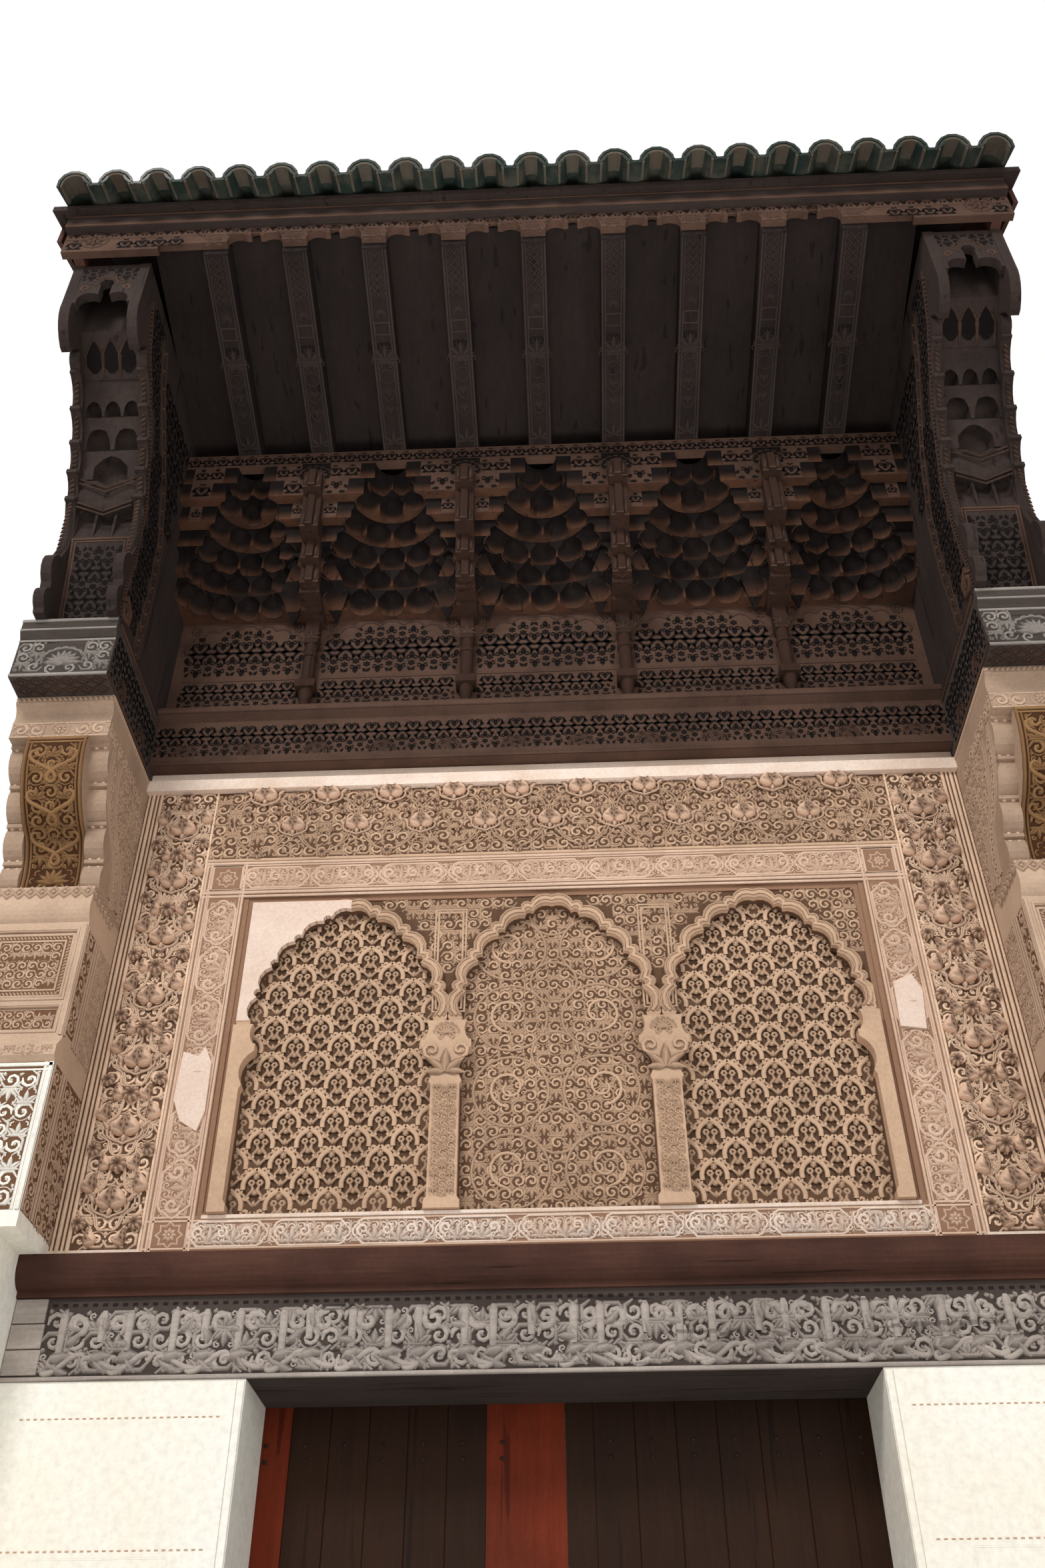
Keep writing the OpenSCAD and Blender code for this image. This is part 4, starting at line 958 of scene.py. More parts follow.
class PORTAL_OT_bands(bpy.types.Operator):
    """Carves the deep relief bands over and beside the frame"""
    bl_idname = "portal.bands"
    bl_label = "Relief Bands"

    def execute(self, context):
        sizes = context.scene.portal_sizes
        self.cones = {side: cone_template(side) for side in (-1, 1)}
        self.flower = flower_template()
        self.top(sizes)
        for side, word in SIDES:
            self.upright(sizes, side, f"side_band_{word}")
        return {"FINISHED"}

    def pair(self, piece, x, y, size, depth):
        """Two netted buds whose tips meet, over curling stems"""
        place = front(depth)
        for side in (-1, 1):
            piece.stamp(self.cones[-side], place, x + side * size * 0.33, y - size * 0.1, side * 0.34, size)
        stem = bezier((0, -size * 0.5), (size * 0.2, -size * 0.3), (size * 0.75, -size * 0.4),
                      (size * 0.72, size * 0.1), 5)
        strands = mirrored(strand(stem, size * 0.055))
        strands += mirrored(moved(leaf(size * 0.45, size * 0.09, 0.4), size * 0.66, size * 0.1, -0.3))
        strands += moved(leaf(size * 0.36, size * 0.1), 0, -size * 0.1, math.pi)
        piece.carve(moved(strands, x, y), place, 1.2)

    def top(self, sizes):
        low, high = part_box("top_band")
        face = low.y
        middle_z = (low.z + high.z) / 2
        carved = Piece("top_band_carving", "stucco")
        field = scroll_field(low.x, low.z + 0.035, high.x, high.z - 0.01, sizes.scroll_cell, 4)
        carved.carve(field, front(face), 1.3)
        piece = Piece("top_band_buds", "buds")
        pitch = sizes.motif_pitch
        half = pitch / 2
        count = int((high.x - low.x) / pitch)
        ribbons, shells = [], []
        line = bezier((0, low.z + 0.05), (half * 0.9, low.z + 0.1), (half * 0.9, middle_z),
                      (half, middle_z), 5)
        line += bezier((half, middle_z), (half * 1.1, middle_z + 0.05), (half * 1.1, high.z - 0.1),
                       (half * 0.45, high.z - 0.06), 5)[1:]
        for i in range(count):
            x = (i + 0.5 - count / 2) * pitch
            self.pair(piece, x, high.z - 0.06, 0.125, face - 0.02)
            if i < count - 1:
                self.pair(piece, x + half, middle_z - 0.03, 0.12, face - 0.014)
                piece.stamp(self.flower, front(face - 0.012), x + half, high.z - 0.09, 0, 0.075)
            shells += moved(shell(0.05), x, middle_z - 0.06)
            for depth, along, z in ((0.012, x + half / 2, middle_z + 0.1),
                                    (0.012, x - half / 2, middle_z + 0.1), (0.008, x, low.z + 0.045)):
                piece.stamp(self.flower, front(face - depth), along, z, 0, 0.06)
            for grow in (0.86, 1.0):
                ribbons += moved(mirrored(strand([(a * grow, b) for a, b in line], 0.0062)), x)
            ribbons += ring(0.05, 10, 0.006, x + half, low.z + 0.1)
        carved.carve(ribbons, front(face - 0.006), 1.6)
        carved.carve(shells, front(face - 0.01), 1.8)
        carved.carve(bar(low.x, low.z + 0.012, high.x, low.z + 0.012, 0.012), front(face), 1.2)
        carved.done()
        piece.done()

    def upright(self, sizes, side, node):
        low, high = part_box(node)
        face = low.y
        edge = 0.105
        left, right = (low.x + edge, high.x - 0.02) if side < 0 else (low.x + 0.02, high.x - edge)
        middle, half = (left + right) / 2, (right - left) / 2
        carved = Piece(node + "_carving", "stucco_sunny")
        carved.carve(scroll_field(left, low.z + 0.06, right, high.z, sizes.scroll_cell, 7), front(face), 1.3)
        piece = Piece(node + "_buds", "buds")
        pitch = sizes.motif_pitch
        ribbons, shells = [], []
        for i in range(int((high.z - low.z) / pitch)):
            z = low.z + 0.24 + i * pitch
            self.pair(piece, middle, z + 0.03, 0.13, face - 0.016)
            piece.stamp(self.flower, front(face - 0.014), middle, z + pitch * 0.62, 0, 0.095)
            for end in (-1, 1):
                outer, inner = middle + end * half * 0.86, middle + end * half * 0.42
                piece.stamp(self.cones[-end], front(face - 0.012), outer, z + pitch * 0.26, end * 0.3, 0.115)
                piece.stamp(self.flower, front(face - 0.012), outer, z - pitch * 0.16, 0, 0.075)
                piece.stamp(self.cones[end], front(face - 0.006), inner, z - pitch * 0.44, -end * 0.25, 0.1)
            line = bezier((0, z - pitch * 0.24), (half * 0.55, z - pitch * 0.3), (half * 0.3, z),
                          (half * 0.62, z), 5)
            line += bezier((half * 0.62, z), (half, z + 0.02), (half * 0.95, z + pitch * 0.24),
                           (half * 0.5, z + pitch * 0.28), 5)[1:]
            line += bezier((half * 0.5, z + pitch * 0.28), (half * 0.2, z + pitch * 0.32),
                           (half * 0.35, z + pitch * 0.66), (0, z + pitch * 0.76), 5)[1:]
            for grow in (0.84, 1.0):
                ribbons += moved(mirrored(strand([(a * grow, b) for a, b in line], 0.0058)), middle)
            shells += mirrored(moved(shell(0.036), middle + half * 0.5, z + pitch * 0.44), middle)
        carved.carve(ribbons, front(face - 0.006), 1.6)
        carved.carve(shells, front(face - 0.01), 1.6)
        outer, inner = (low.x, high.x) if side < 0 else (high.x, low.x)
        fillets = [(outer - side * (0.012 + 0.026 * k), 0.0115 if k % 2 else 0.008) for k in range(4)]
        carved.carve(uprights(low.z, high.z, *fillets, (inner + side * 0.008, 0.008)), front(face), 1.1)
        carved.done()
        piece.done()
        foot = Piece(node + "_foot", "stucco_pale")
        foot.block((low.x, face - 0.012, low.z + 0.002), (high.x, face + 0.01, low.z + 0.028), 0.004)
        foot.block((low.x, face - 0.006, low.z + 0.034), (high.x, face + 0.01, low.z + 0.05), 0.003)
        foot.done()


class PORTAL_OT_frame(bpy.types.Operator):
    """Carves the band, the fillets and the sill round the arcade"""
    bl_idname = "portal.frame"
    bl_label = "Frame"

    def execute(self, context):
        low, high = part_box("stucco_frame")
        inner_low, inner_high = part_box("arcade_plate")
        left, right = inner_high.x + 0.09, high.x - 0.045
        middle, wide = (left + right) / 2, right - left
        foot, head = inner_low.z, inner_high.z
        head_low, head_high = head + 0.095, high.z - 0.04
        sill_z, head_z = low.z + 0.118, (head_low + head_high) / 2
        cell = 0.045
        strands, lines, sill = [], [], []
        count = 6
        tall = (head - foot + 0.04) / count
        field = scroll_field(left + 0.012, foot, right - 0.012, head, cell, 5)
        for side, _ in SIDES:
            for i in range(count):
                strands += moved(cartouche(tall * 0.97, wide * 0.92), side * middle,
                                 foot - 0.02 + (i + 0.5) * tall, math.pi / 2)
            strands += moved(field, flip=side < 0)
            for z, size in ((sill_z, 0.066), (head_z, 0.062)):
                strands += moved(star(size), side * middle, z)
                lines += moved(rectangle(-wide / 2, -wide / 2, wide / 2, wide / 2, 0.006), side * middle, z)
            fillets = ((high.x - 0.008, 0.008), (high.x - 0.03, 0.007), (right + 0.004, 0.005),
                       (left - 0.004, 0.005), (left - 0.02, 0.008))
            lines += uprights(low.z + 0.03, high.z, *[(side * x, half) for x, half in fillets])
        count = 9
        long = 2 * left / count
        for i in range(count):
            x = (i + 0.5 - count / 2) * long
            strands += moved(cartouche(long * 0.98, (head_high - head_low) * 0.92), x, head_z)
            sill += moved(cartouche(long * 0.98, 0.124), x, sill_z)
        lines += levels(-high.x, high.x, (high.z - 0.01, 0.01), (head_high + 0.012, 0.006),
                        (head_low - 0.006, 0.006), (head_low - 0.028, 0.011), (head_low - 0.054, 0.009),
                        (low.z + 0.048, 0.006), (low.z + 0.186, 0.006))
        strands += scroll_field(-left, head_low + 0.012, left, head_high - 0.012, cell, 6)
        sill += scroll_field(-left, low.z + 0.064, left, low.z + 0.172, cell, 8)
        piece = Piece("frame_carving", "frame")
        piece.carve(strands, front(low.y), 1.1).carve(lines, front(low.y), 1.2).done()
        pale = Piece("frame_ledges", "stucco_pale")
        pale.carve(sill, front(low.y), 1.3)
        pale.block((-high.x, low.y - 0.016, low.z + 0.002), (high.x, low.y + 0.005, low.z + 0.032), 0.005)
        pale.block((-inner_high.x - 0.03, low.y - 0.012, foot - 0.022),
                   (inner_high.x + 0.03, low.y + 0.006, foot - 0.002), 0.004)
        pale.done()
        self.repairs(context.scene.portal_sizes, low.y, left, right, foot)
        return {"FINISHED"}

    def repairs(self, sizes, face, left, right, foot):
        """Plain plaster where the carving of the frame and of the left arch is lost"""
        piece = Piece("frame_repairs", "repair")
        piece.slab([(-right, foot + 0.62), (-right + 0.05, foot + 0.5), (-left - 0.03, foot + 0.44),
                    (-left, foot + 0.55), (-left - 0.005, foot + 0.83), (-left - 0.05, foot + 0.93),
                    (-left - 0.08, foot + 0.87), (-right + 0.01, foot + 0.9)], front(face), 0.019)
        piece.slab([(left + 0.01, foot + 0.95), (right - 0.03, foot + 0.93), (right - 0.01, foot + 1.16),
                    (right - 0.05, foot + 1.27), (left + 0.02, foot + 1.22)], front(face), 0.019)
        plate_low, plate_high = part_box("arcade_plate")
        spring, crown, _ = arch_heights(sizes)
        edge = -plate_high.x + 0.002
        points = [(edge, spring), *[(-sizes.arch_pitch - x, y) for x, y in arch_outline(sizes, 0)],
                  (-sizes.arch_pitch, crown), (edge, crown)]
        distinct = [p for i, p in enumerate(points) if math.dist(p, points[i - 1]) > 1e-4]
        piece.slab(list(reversed(distinct)), front(plate_low.y),
                   plate_low.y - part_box("arch_ribbons")[0].y + 0.004)
        piece.done()


class PORTAL_OT_arcade(bpy.types.Operator):
    """Carves the arches, their spandrels, the lattices and the columns"""
    bl_idname = "portal.arcade"
    bl_label = "Arcade"

    def execute(self, context):
        sizes = context.scene.portal_sizes
        pitch = sizes.arch_pitch
        low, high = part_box("arcade_plate")
        spring, crown, _ = arch_heights(sizes)
        outline = arch_outline(sizes, sizes.ribbon_width)

        def in_spandrel(x, y, size):
            nearest = min((abs(x - k * pitch) for k in (-1, 0, 1)))
            width = max((px for px, py in outline if py >= y - size), default=0)
            return x > -pitch and (y > spring and nearest > width + size * 0.6 or y > crown - size * 0.5)

        piece = Piece("spandrel_carving", "stucco")
        piece.carve(scroll_field(low.x, spring, high.x, high.z, 0.07, 3, in_spandrel), front(low.y), 1.2)
        for x in (-pitch / 2, pitch / 2):
            panel = rectangle(x - 0.07, spring + 0.06, x + 0.07, high.z - 0.1, 0.007)
            panel += rectangle(x - 0.088, spring + 0.04, x + 0.088, high.z - 0.08, 0.006)
            piece.carve(panel, front(low.y - 0.004), 1.4)
        piece.done()
        strands = []
        for grow, width, profile in ((0.006, 0.008, "ridge"), (0.031, 0.011, "bulb"),
                                     (0.056, 0.008, "ridge")):
            half = arch_outline(sizes, grow)
            line = half + [(-x, y) for x, y in reversed(half)]
            for k in (-1, 0, 1):
                inside = [(x, y) for x, y in line
                          if abs(x + k * pitch) < high.x - 0.008 and (k >= 0 or x > 0)]
                strands += moved(strand(inside, width, profile), k * pitch)
        Piece("arch_ribbon_carving", "stucco").carve(strands, front(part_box("arch_ribbons")[0].y)).done()
        for node in ("lattice_left", "lattice_right"):
            self.lattice(node, sizes.lattice_width, sizes.lattice_height)
        self.middle_field(sizes.arch_width / 2)
        self.columns(pitch)
        return {"FINISHED"}

    def lattice(self, node, width, height):
        """Staggered lattice cells over the ground of a side arch"""
        low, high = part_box(node)
        strands = []
        columns = int((high.x - low.x) / width) + 2
        rows = int((high.z - low.z) / height) + 2
        x0 = (low.x + high.x) / 2 - columns * width / 2
        z0 = (low.z + high.z) / 2 - rows * height / 2
        cell = thick(lattice_cell(width, height), 1.25)
        for row in range(2 * rows - 1):
            for column in range(columns - row % 2):
                strands += moved(cell, x0 + (column + 0.5 + row % 2 / 2) * width, z0 + (row + 1) * height / 2)
        strands = clipped(strands, low.x, low.z + 0.004, high.x, high.z)
        Piece(node + "_carving", "stucco").carve(strands, front(low.y)).done()

    def middle_field(self, half):
        """Scrolls and crossing round vines in the middle arch"""
        low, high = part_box("lattice_centre")
        piece = Piece("lattice_centre_carving", "stucco")
        piece.carve(scroll_field(-half, low.z, half, high.z, 0.068, 11), front(low.y), 1.2)
        vines = []
        for i in range(4):
            z = low.z + 0.22 + i * 0.44
            vines += mirrored(ring(0.2, 24, 0.009, 0.24, z))
            vines += mirrored(moved(spiral(0.11, 1.4, width=0.08, count=20), 0.25, z + 0.02))
            vines += ring(0.13, 14, 0.009, 0, z + 0.22)
        piece.carve(vines, front(low.y - 0.004), 1.4)
        piece.done()

    def columns(self, pitch):
        low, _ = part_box("arcade_columns")
        strands = []
        for x in (-pitch / 2, pitch / 2):
            strands += thick(scroll_field(x - 0.06, low.z + 0.06, x + 0.06, low.z + 0.66, 0.04, 12), 0.7)
            strands += moved(palmette(0.14), x, low.z + 0.73)
            strands += mirrored(moved(spiral(0.05), x + 0.075, low.z + 0.86), x)
            strands += moved(shell(0.06), x, low.z + 0.96)
        Piece("column_carving", "stucco").carve(strands, front(low.y)).done()


def lattice_cell(width, height):
    """Broad pointed hood over two eyes and a drop, with curls at its feet and below"""
    w, h = width / 2, height / 2
    hood = bezier((w * 0.5, -h * 0.15), (w * 0.6, h * 0.55), (w * 0.2, h * 0.6), (0, h * 0.86))
    outer = bezier((w * 0.96, h * 0.1), (w * 0.8, h * 0.2), (w * 0.62, h * 0.66), (w * 0.34, h * 0.8), 3)
    half = strand(hood, h * 0.1, "fillet") + strand(outer, h * 0.055)
    half += moved(spiral(h * 0.21, 1.1, math.pi * 0.9, 0.3, 7), w * 0.68, -h * 0.2)
    half += ring(h * 0.115, 6, h * 0.05, w * 0.17, h * 0.2)
    half += strand([(w * 0.15, h * 0.06), (w * 0.08, -h * 0.16), (w * 0.3, -h * 0.44)],
                   [h * 0.04, h * 0.08, h * 0.05])
    half += moved(spiral(h * 0.16, 1.1, 2.2, 0.3, 7), w * 0.36, -h * 0.52)
    half += moved(leaf(h * 0.3, h * 0.07, 0.3), w * 0.9, -h * 0.45, 0.2)
    strands = mirrored(half) + moved(leaf(h * 0.26, h * 0.1), 0, -h * 0.42)
    strands += moved(leaf(h * 0.34, h * 0.1), 0, h * 0.34)
    return strands + moved(leaf(h * 0.34, h * 0.09), 0, -h * 0.98)


# Doorway
class PORTAL_OT_lintel(bpy.types.Operator):
    """Carves the weathered lintel over the doorway"""
    bl_idname = "portal.lintel"
    bl_label = "Lintel"

    def execute(self, context):
        low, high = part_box("lintel")
        plain = low.x + 0.17
        notch, motif = 0.048, 0.17
        strands = levels(plain, high.x, (high.z - 0.01, 0.008), (high.z - 0.056, 0.005))
        for i in range(int((high.x - plain) / notch)):
            x = plain + (i + 0.5) * notch
            strands += bar(x - 0.012, high.z - 0.034, x + 0.012, high.z - 0.034, 0.007, "pit")
        strands += thick(scroll_field(plain, low.z + 0.04, high.x, high.z - 0.065, 0.1, 61), 1.35)
        for i in range(int((high.x - plain) / motif)):
            x = plain + (i + 0.5) * motif + 0.025 * math.sin(i * 2.4)
            foot = low.z + (0.1, 0.17, 0.13)[i % 3]
            strands += strand([(x, foot), (x, high.z - 0.09), (x, high.z - 0.064)], [0.018, 0.024, 0.012],
                              "fillet")
            strands += moved(spiral(0.05, 1.1, width=0.34), x + 0.07, high.z - 0.13, 0.4 * i)
            strands += moved(leaf(0.11, 0.03, 0.4), x - 0.04, low.z + 0.08, -0.9)
            strands += moved(s_scroll(0.2, 0.07, 0.016), x + 0.03, low.z + 0.075, 0.1, 1, i % 2 == 0)
            strands += moved(leaf(0.15, 0.02, 0.3), x + 0.06, low.z + 0.035, 1.4 - i % 3 * 0.25)
            strands += moved(leaf(0.1, 0.022, -0.4), x + 0.02, low.z + 0.15 + i % 2 * 0.06, 1.1 * (i % 3 - 1))
        piece = Piece("lintel_carving", "timber")
        piece.carve([item for item in strands if all(abs(x) < high.x for x, _, _ in item[2])],
                    front(low.y), 1.4)
        piece.carve(bar(low.x, low.z + 0.012, high.x, low.z + 0.012, 0.012), front(low.y), 1.4)
        for i in range(3):
            z, end = low.z + 0.03 + i * 0.117, plain - 0.006 * i
            piece.block((low.x + 0.004, low.y - 0.012, z), (end, low.y + 0.01, z + 0.112), 0.004)
        piece.done()
        return {"FINISHED"}


class PORTAL_OT_doors(bpy.types.Operator):
    """Builds the boards, nail heads and meeting laths of both leaves"""
    bl_idname = "portal.doors"
    bl_label = "Door Leaves"

    def execute(self, context):
        sizes = context.scene.portal_sizes
        knob = knob_template()
        for side, word in SIDES:
            name = f"leaf_{word}"
            low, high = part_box(name + "_planks")
            count = round((high.x - low.x) / sizes.plank_width)
            step = (high.x - low.x) / count
            boards = Piece(name + "_boards", "planks", name)
            for i in range(count):
                x0, x1 = low.x + i * step, low.x + (i + 1) * step
                boards.block((x0, low.y, low.z), (x1, high.y, high.z), 0.006)
            boards.done([name + "_planks"])
            nails = Piece(name + "_nails", "iron", name)
            foot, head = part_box(name + "_ledges")
            for row in range(8):
                z = foot.z + 0.045 + (row // 2) * (head.z - foot.z - 0.16) / 3 + (row % 2) * 0.07
                for i in range(-1, count + 1):
                    x = low.x + (i + 0.5) * step
                    if 0.05 < abs(x) < 1.42:
                        nails.stamp(knob, front(low.y), x - 0.02, z, 0, sizes.nail_size)
            nails.done()
            laths = Piece(name + "_laths", "planks" if side > 0 else "stiles", name)
            foot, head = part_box(name + "_stiles")
            middle = (low.y + high.y) / 2
            front_edge, rear_edge = (-0.0006, 0.0002) if side < 0 else (0.0008, 0.0016)
            for y0, y1, edge in ((low.y, middle, front_edge), (middle, high.y, rear_edge)):
                x0, x1 = sorted((side * 0.0045, edge))
                laths.block((x0, y0, foot.z + 0.04), (x1, y1, head.z - 0.04))
            laths.done()
        return {"FINISHED"}


class PORTAL_OT_walls(bpy.types.Operator):
    """Adds the stitched lines and the pale border of the doorway to the lower wall"""
    bl_idname = "portal.walls"
    bl_label = "Lower Wall"

    def execute(self, context):
        low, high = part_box("wall_right")
        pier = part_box("side_band_right")[1].x
        stitch = 0.032
        lines = []
        for drop in (0.16, 0.69, 1.22):
            for i in range(int((pier - low.x - 0.12) / stitch)):
                x = low.x + 0.1 + i * stitch
                lines += mirrored(bar(x, high.z - drop, x + stitch / 2, high.z - drop, 0.0035))
        borders = mirrored(bar(low.x + 0.022, low.z + 0.01, low.x + 0.022, high.z - 0.01, 0.02))
        for z0, z1 in ((0.72, 1.15), (1.28, 1.68)):
            borders += mirrored(rectangle(low.x + 0.25, high.z - z1, pier - 0.2, high.z - z0, 0.004))
        Piece("wall_stitches", "stucco").carve(lines, front(low.y), 0.8).done()
        Piece("doorway_border", "plaster").carve(borders, front(low.y), 0.25).done()
        return {"FINISHED"}


# Piers: everything is drawn for the right pier, and Piece.carve mirrors it for the left one
class PORTAL_OT_piers(bpy.types.Operator):
    """Carves the shafts, the blocks and the consoles of both piers"""
    bl_idname = "portal.piers"
    bl_label = "Piers"

    def execute(self, context):
        for side, word in SIDES:
            self.shaft(side, word)
            self.block(side, word)
            self.console(side, word)
            self.cornice(side, word)
            self.beads(side, word)
        return {"FINISHED"}

    def shaft(self, side, word):
        foot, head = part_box("pier_right_shaft")
        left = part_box("beam_right")[0].x
        right, top = head.x, head.z
        bottom = top - 0.76
        strands = scroll_field(left + 0.055, bottom + 0.02, right - 0.055, top - 0.055, 0.085, 21)
        for inset, half in ((0.014, 0.012), (0.04, 0.007)):
            strands += uprights(bottom, top, (left + inset, half), (right - inset, half))
        strands += levels(left, right, (top - 0.014, 0.012), (top - 0.042, 0.006))
        strands += ground(left + 0.05, bottom, right - 0.05, top)
        piece = Piece(f"pier_{word}_shaft_carving", "shaft_carving", side=side)
        piece.carve(strands, front(foot.y)).done()
        edge = -foot.y
        strands = scroll_field(edge - 0.11, bottom, edge - 0.03, top - 0.02, 0.08, 22)
        strands += ground(0.002, bottom, edge, top)
        strands += uprights(bottom, top, (edge - 0.012, 0.01), (edge - 0.127, 0.008), (edge - 0.155, 0.013),
                            (edge - 0.19, 0.008))
        strands += scroll_field(0.01, bottom, edge - 0.2, top - 0.02, 0.08, 30)
        piece = Piece(f"pier_{word}_shaft_side", "pier_carving", side=side)
        piece.carve(strands, facing_in(side, left)).done()

    def block(self, side, word):
        low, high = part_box("pier_right_block")
        left, right, foot = low.x, high.x, low.z
        face = low.y + 0.045
        sunk, inner = front(face + 0.018), facing_in(side, left)
        strip_z, strip_top = foot + 0.193, foot + 0.328
        panel_z, panel_top = foot + 0.383, foot + 0.793
        piece = Piece(f"pier_{word}_block_carving", "pier_carving", side=side)

        def framed(make, inset, lift, *values):
            """A rectangle or field set in from the sides, and by lift from the panel's foot and head"""
            return make(left + inset, panel_z + lift, right - inset, panel_top - lift, *values)

        strands = scroll_field(left + 0.075, strip_z + 0.015, right - 0.075, strip_top - 0.015, 0.053, 23)
        strands += rectangle(left + 0.063, strip_z + 0.008, right - 0.063, strip_top - 0.008, 0.005)
        strands += ground(left + 0.058, strip_z + 0.003, right - 0.058, strip_top - 0.003)
        strands += framed(ground, 0.058, 0.003) + framed(scroll_field, 0.12, 0.065, 0.057, 24)
        strands += framed(rectangle, 0.068, 0.013, 0.01) + framed(rectangle, 0.108, 0.053, 0.006)
        x0, x1, z0, z1 = left + 0.088, right - 0.088, panel_z + 0.033, panel_top - 0.033
        strands += rope([(x0, z0), (x1, z0), (x1, z1), (x0, z1), (x0, z0)], 0.009, 0.02)
        piece.carve(strands, sunk, 1.1)
        edges = framed(rectangle, 0.045, -0.012, 0.007)
        edges += rectangle(left + 0.045, strip_z - 0.012, right - 0.045, strip_top + 0.012, 0.007)
        edges += uprights(foot + 0.16, high.z - 0.23, (left + 0.014, 0.011), (right - 0.014, 0.011))
        piece.carve(edges, front(face), 1.1)
        plinth = scroll_field(left + 0.02, foot + 0.032, right - 0.02, foot + 0.081, 0.049, 25)
        piece.carve(plinth, front(low.y))
        depth = -face
        strands = scroll_field(depth - 0.12, foot + 0.2, depth - 0.035, foot + 0.8, 0.085, 26)
        strands += ground(depth - 0.13, foot + 0.19, depth - 0.03, foot + 0.81)
        lines = [(depth - inset, 0.01) for inset in (0.014, 0.145, 0.178, 0.21)]
        strands += uprights(foot + 0.16, high.z - 0.24, *lines)
        strands += scroll_field(0.01, foot + 0.16, depth - 0.22, high.z - 0.24, 0.08, 31)
        piece.carve(strands, inner)
        for x0, x1, place in ((left, right, front(low.y + 0.01)), (0.12, -low.y - 0.01, inner)):
            piece.carve(diamonds(x0, high.z - 0.068, x1, high.z - 0.006, 0.062, 0.01), place, 1.4)
        piece.done()

    def profile(self):
        """The console's face, as distances from the wall and heights, up to the strip under its cornice"""
        low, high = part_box("pier_right_console")
        bend = (0.49, low.z + 0.3255)
        top = (-low.y - 0.04, high.z - 0.28)
        return arc((0.4, low.z), bend, 0.12, 6) + arc(bend, top, -0.16, 6)[1:]

    def console(self, side, word):
        """The scrolled face of the console"""
        low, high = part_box("pier_right_console")
        middle = (low.x + high.x) / 2
        face = bent([(0, -depth, z) for depth, z in self.profile()])
        half, tall = 0.175, face.length
        strands = []
        for inset, width in ((0.012, 0.012), (0.036, 0.007)):
            rail = [(middle + half - inset, y) for y in np.linspace(inset, tall - inset, 36)]
            strands += mirrored(strand(rail, width), middle)
            strands += bar(middle - half, tall - inset, middle + half, tall - inset, width)
        field = scroll_field(middle - half + 0.05, 0.17, middle + half - 0.05, tall - 0.06, 0.082, 27)
        strands += thick(field, 1.2)
        for i in range(3):
            curl = moved(s_scroll(0.23, 0.11, 0.014), middle + 0.055, 0.29 + i * 0.24, 1.25)
            strands += mirrored(curl, middle)
            strands += moved(heart(0.065), middle, 0.32 + i * 0.22)
        strands += moved(shell(0.11), middle, 0.075)
        strands += ground(middle - half, 0.005, middle + half, tall - 0.005, 36)
        piece = Piece(f"pier_{word}_console_carving", "console_carving", side=side)
        piece.carve(strands, face, 1.4).done()

    def cornice(self, side, word):
        """The strip and the rope over the console, and its inner side"""
        low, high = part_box("pier_right_console")
        left, right = low.x, high.x
        middle = (left + right) / 2
        line = self.profile()
        reach, strip_z = line[-1]
        piece = Piece(f"pier_{word}_console_side", "pier_carving", side=side)
        strands = scroll_field(left + 0.015, strip_z + 0.012, right - 0.015, strip_z + 0.1, 0.088, 28,
                               lambda x, y, size: abs(x - middle) > 0.075)
        strands += moved(flower(0.042), middle, strip_z + 0.056)
        strands += ring(0.054, 12, 0.006, middle, strip_z + 0.056)
        strands += levels(left, right, (strip_z + 0.006, 0.006), (strip_z + 0.106, 0.006))
        piece.carve(strands, front(-reach), 1.2)
        piece.carve(rope([(left, high.z - 0.022), (right, high.z - 0.022)], 0.014, 0.03), front(low.y), 1.2)
        strands = rope([(0.02, high.z - 0.022), (-low.y, high.z - 0.022)], 0.014, 0.03)
        for inset, width in ((0.1, 0.008), (0.125, 0.012), (0.235, 0.008), (0.262, 0.014)):
            strands += strand([(d - inset - 0.02, z) for d, z in line[1:]], width)
        for depth, z in line[1:-1]:
            strands += moved(spiral(0.045, 1.3), depth - 0.2, z, 0.6)
            strands += moved(leaf(0.05, 0.014, 0.3), depth - 0.17, z + 0.02, -0.6)
        strands += scroll_field(0.1, strip_z + 0.012, reach - 0.01, strip_z + 0.1, 0.088, 29)
        depths, heights = zip(*line)
        strands += scroll_field(0.01, low.z + 0.02, 0.6, strip_z, 0.075, 32, lambda x, y, size:
                                x + size * 0.6 < np.interp(y, heights, depths) - 0.29)
        piece.carve(strands, facing_in(side, left)).done()

    def beads(self, side, word):
        """Rows of round beads beside the face of the console"""
        low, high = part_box("pier_right_console")
        reach, strip_z = self.profile()[-1]
        beads = Piece(f"pier_{word}_console_beads", "pier_carving")
        knob = knob_template()
        count = 18
        for x in (low.x + 0.03, low.x + 0.08, high.x - 0.03, high.x - 0.08):
            for i in range(count):
                share = (i + 0.5) / count
                depth = 0.38 + (reach - 0.45) * share ** 1.4
                z = low.z + (strip_z - low.z) * share
                beads.stamp(knob, front(-depth - 0.002), side * x, z, 0, 0.03)
        beads.done()


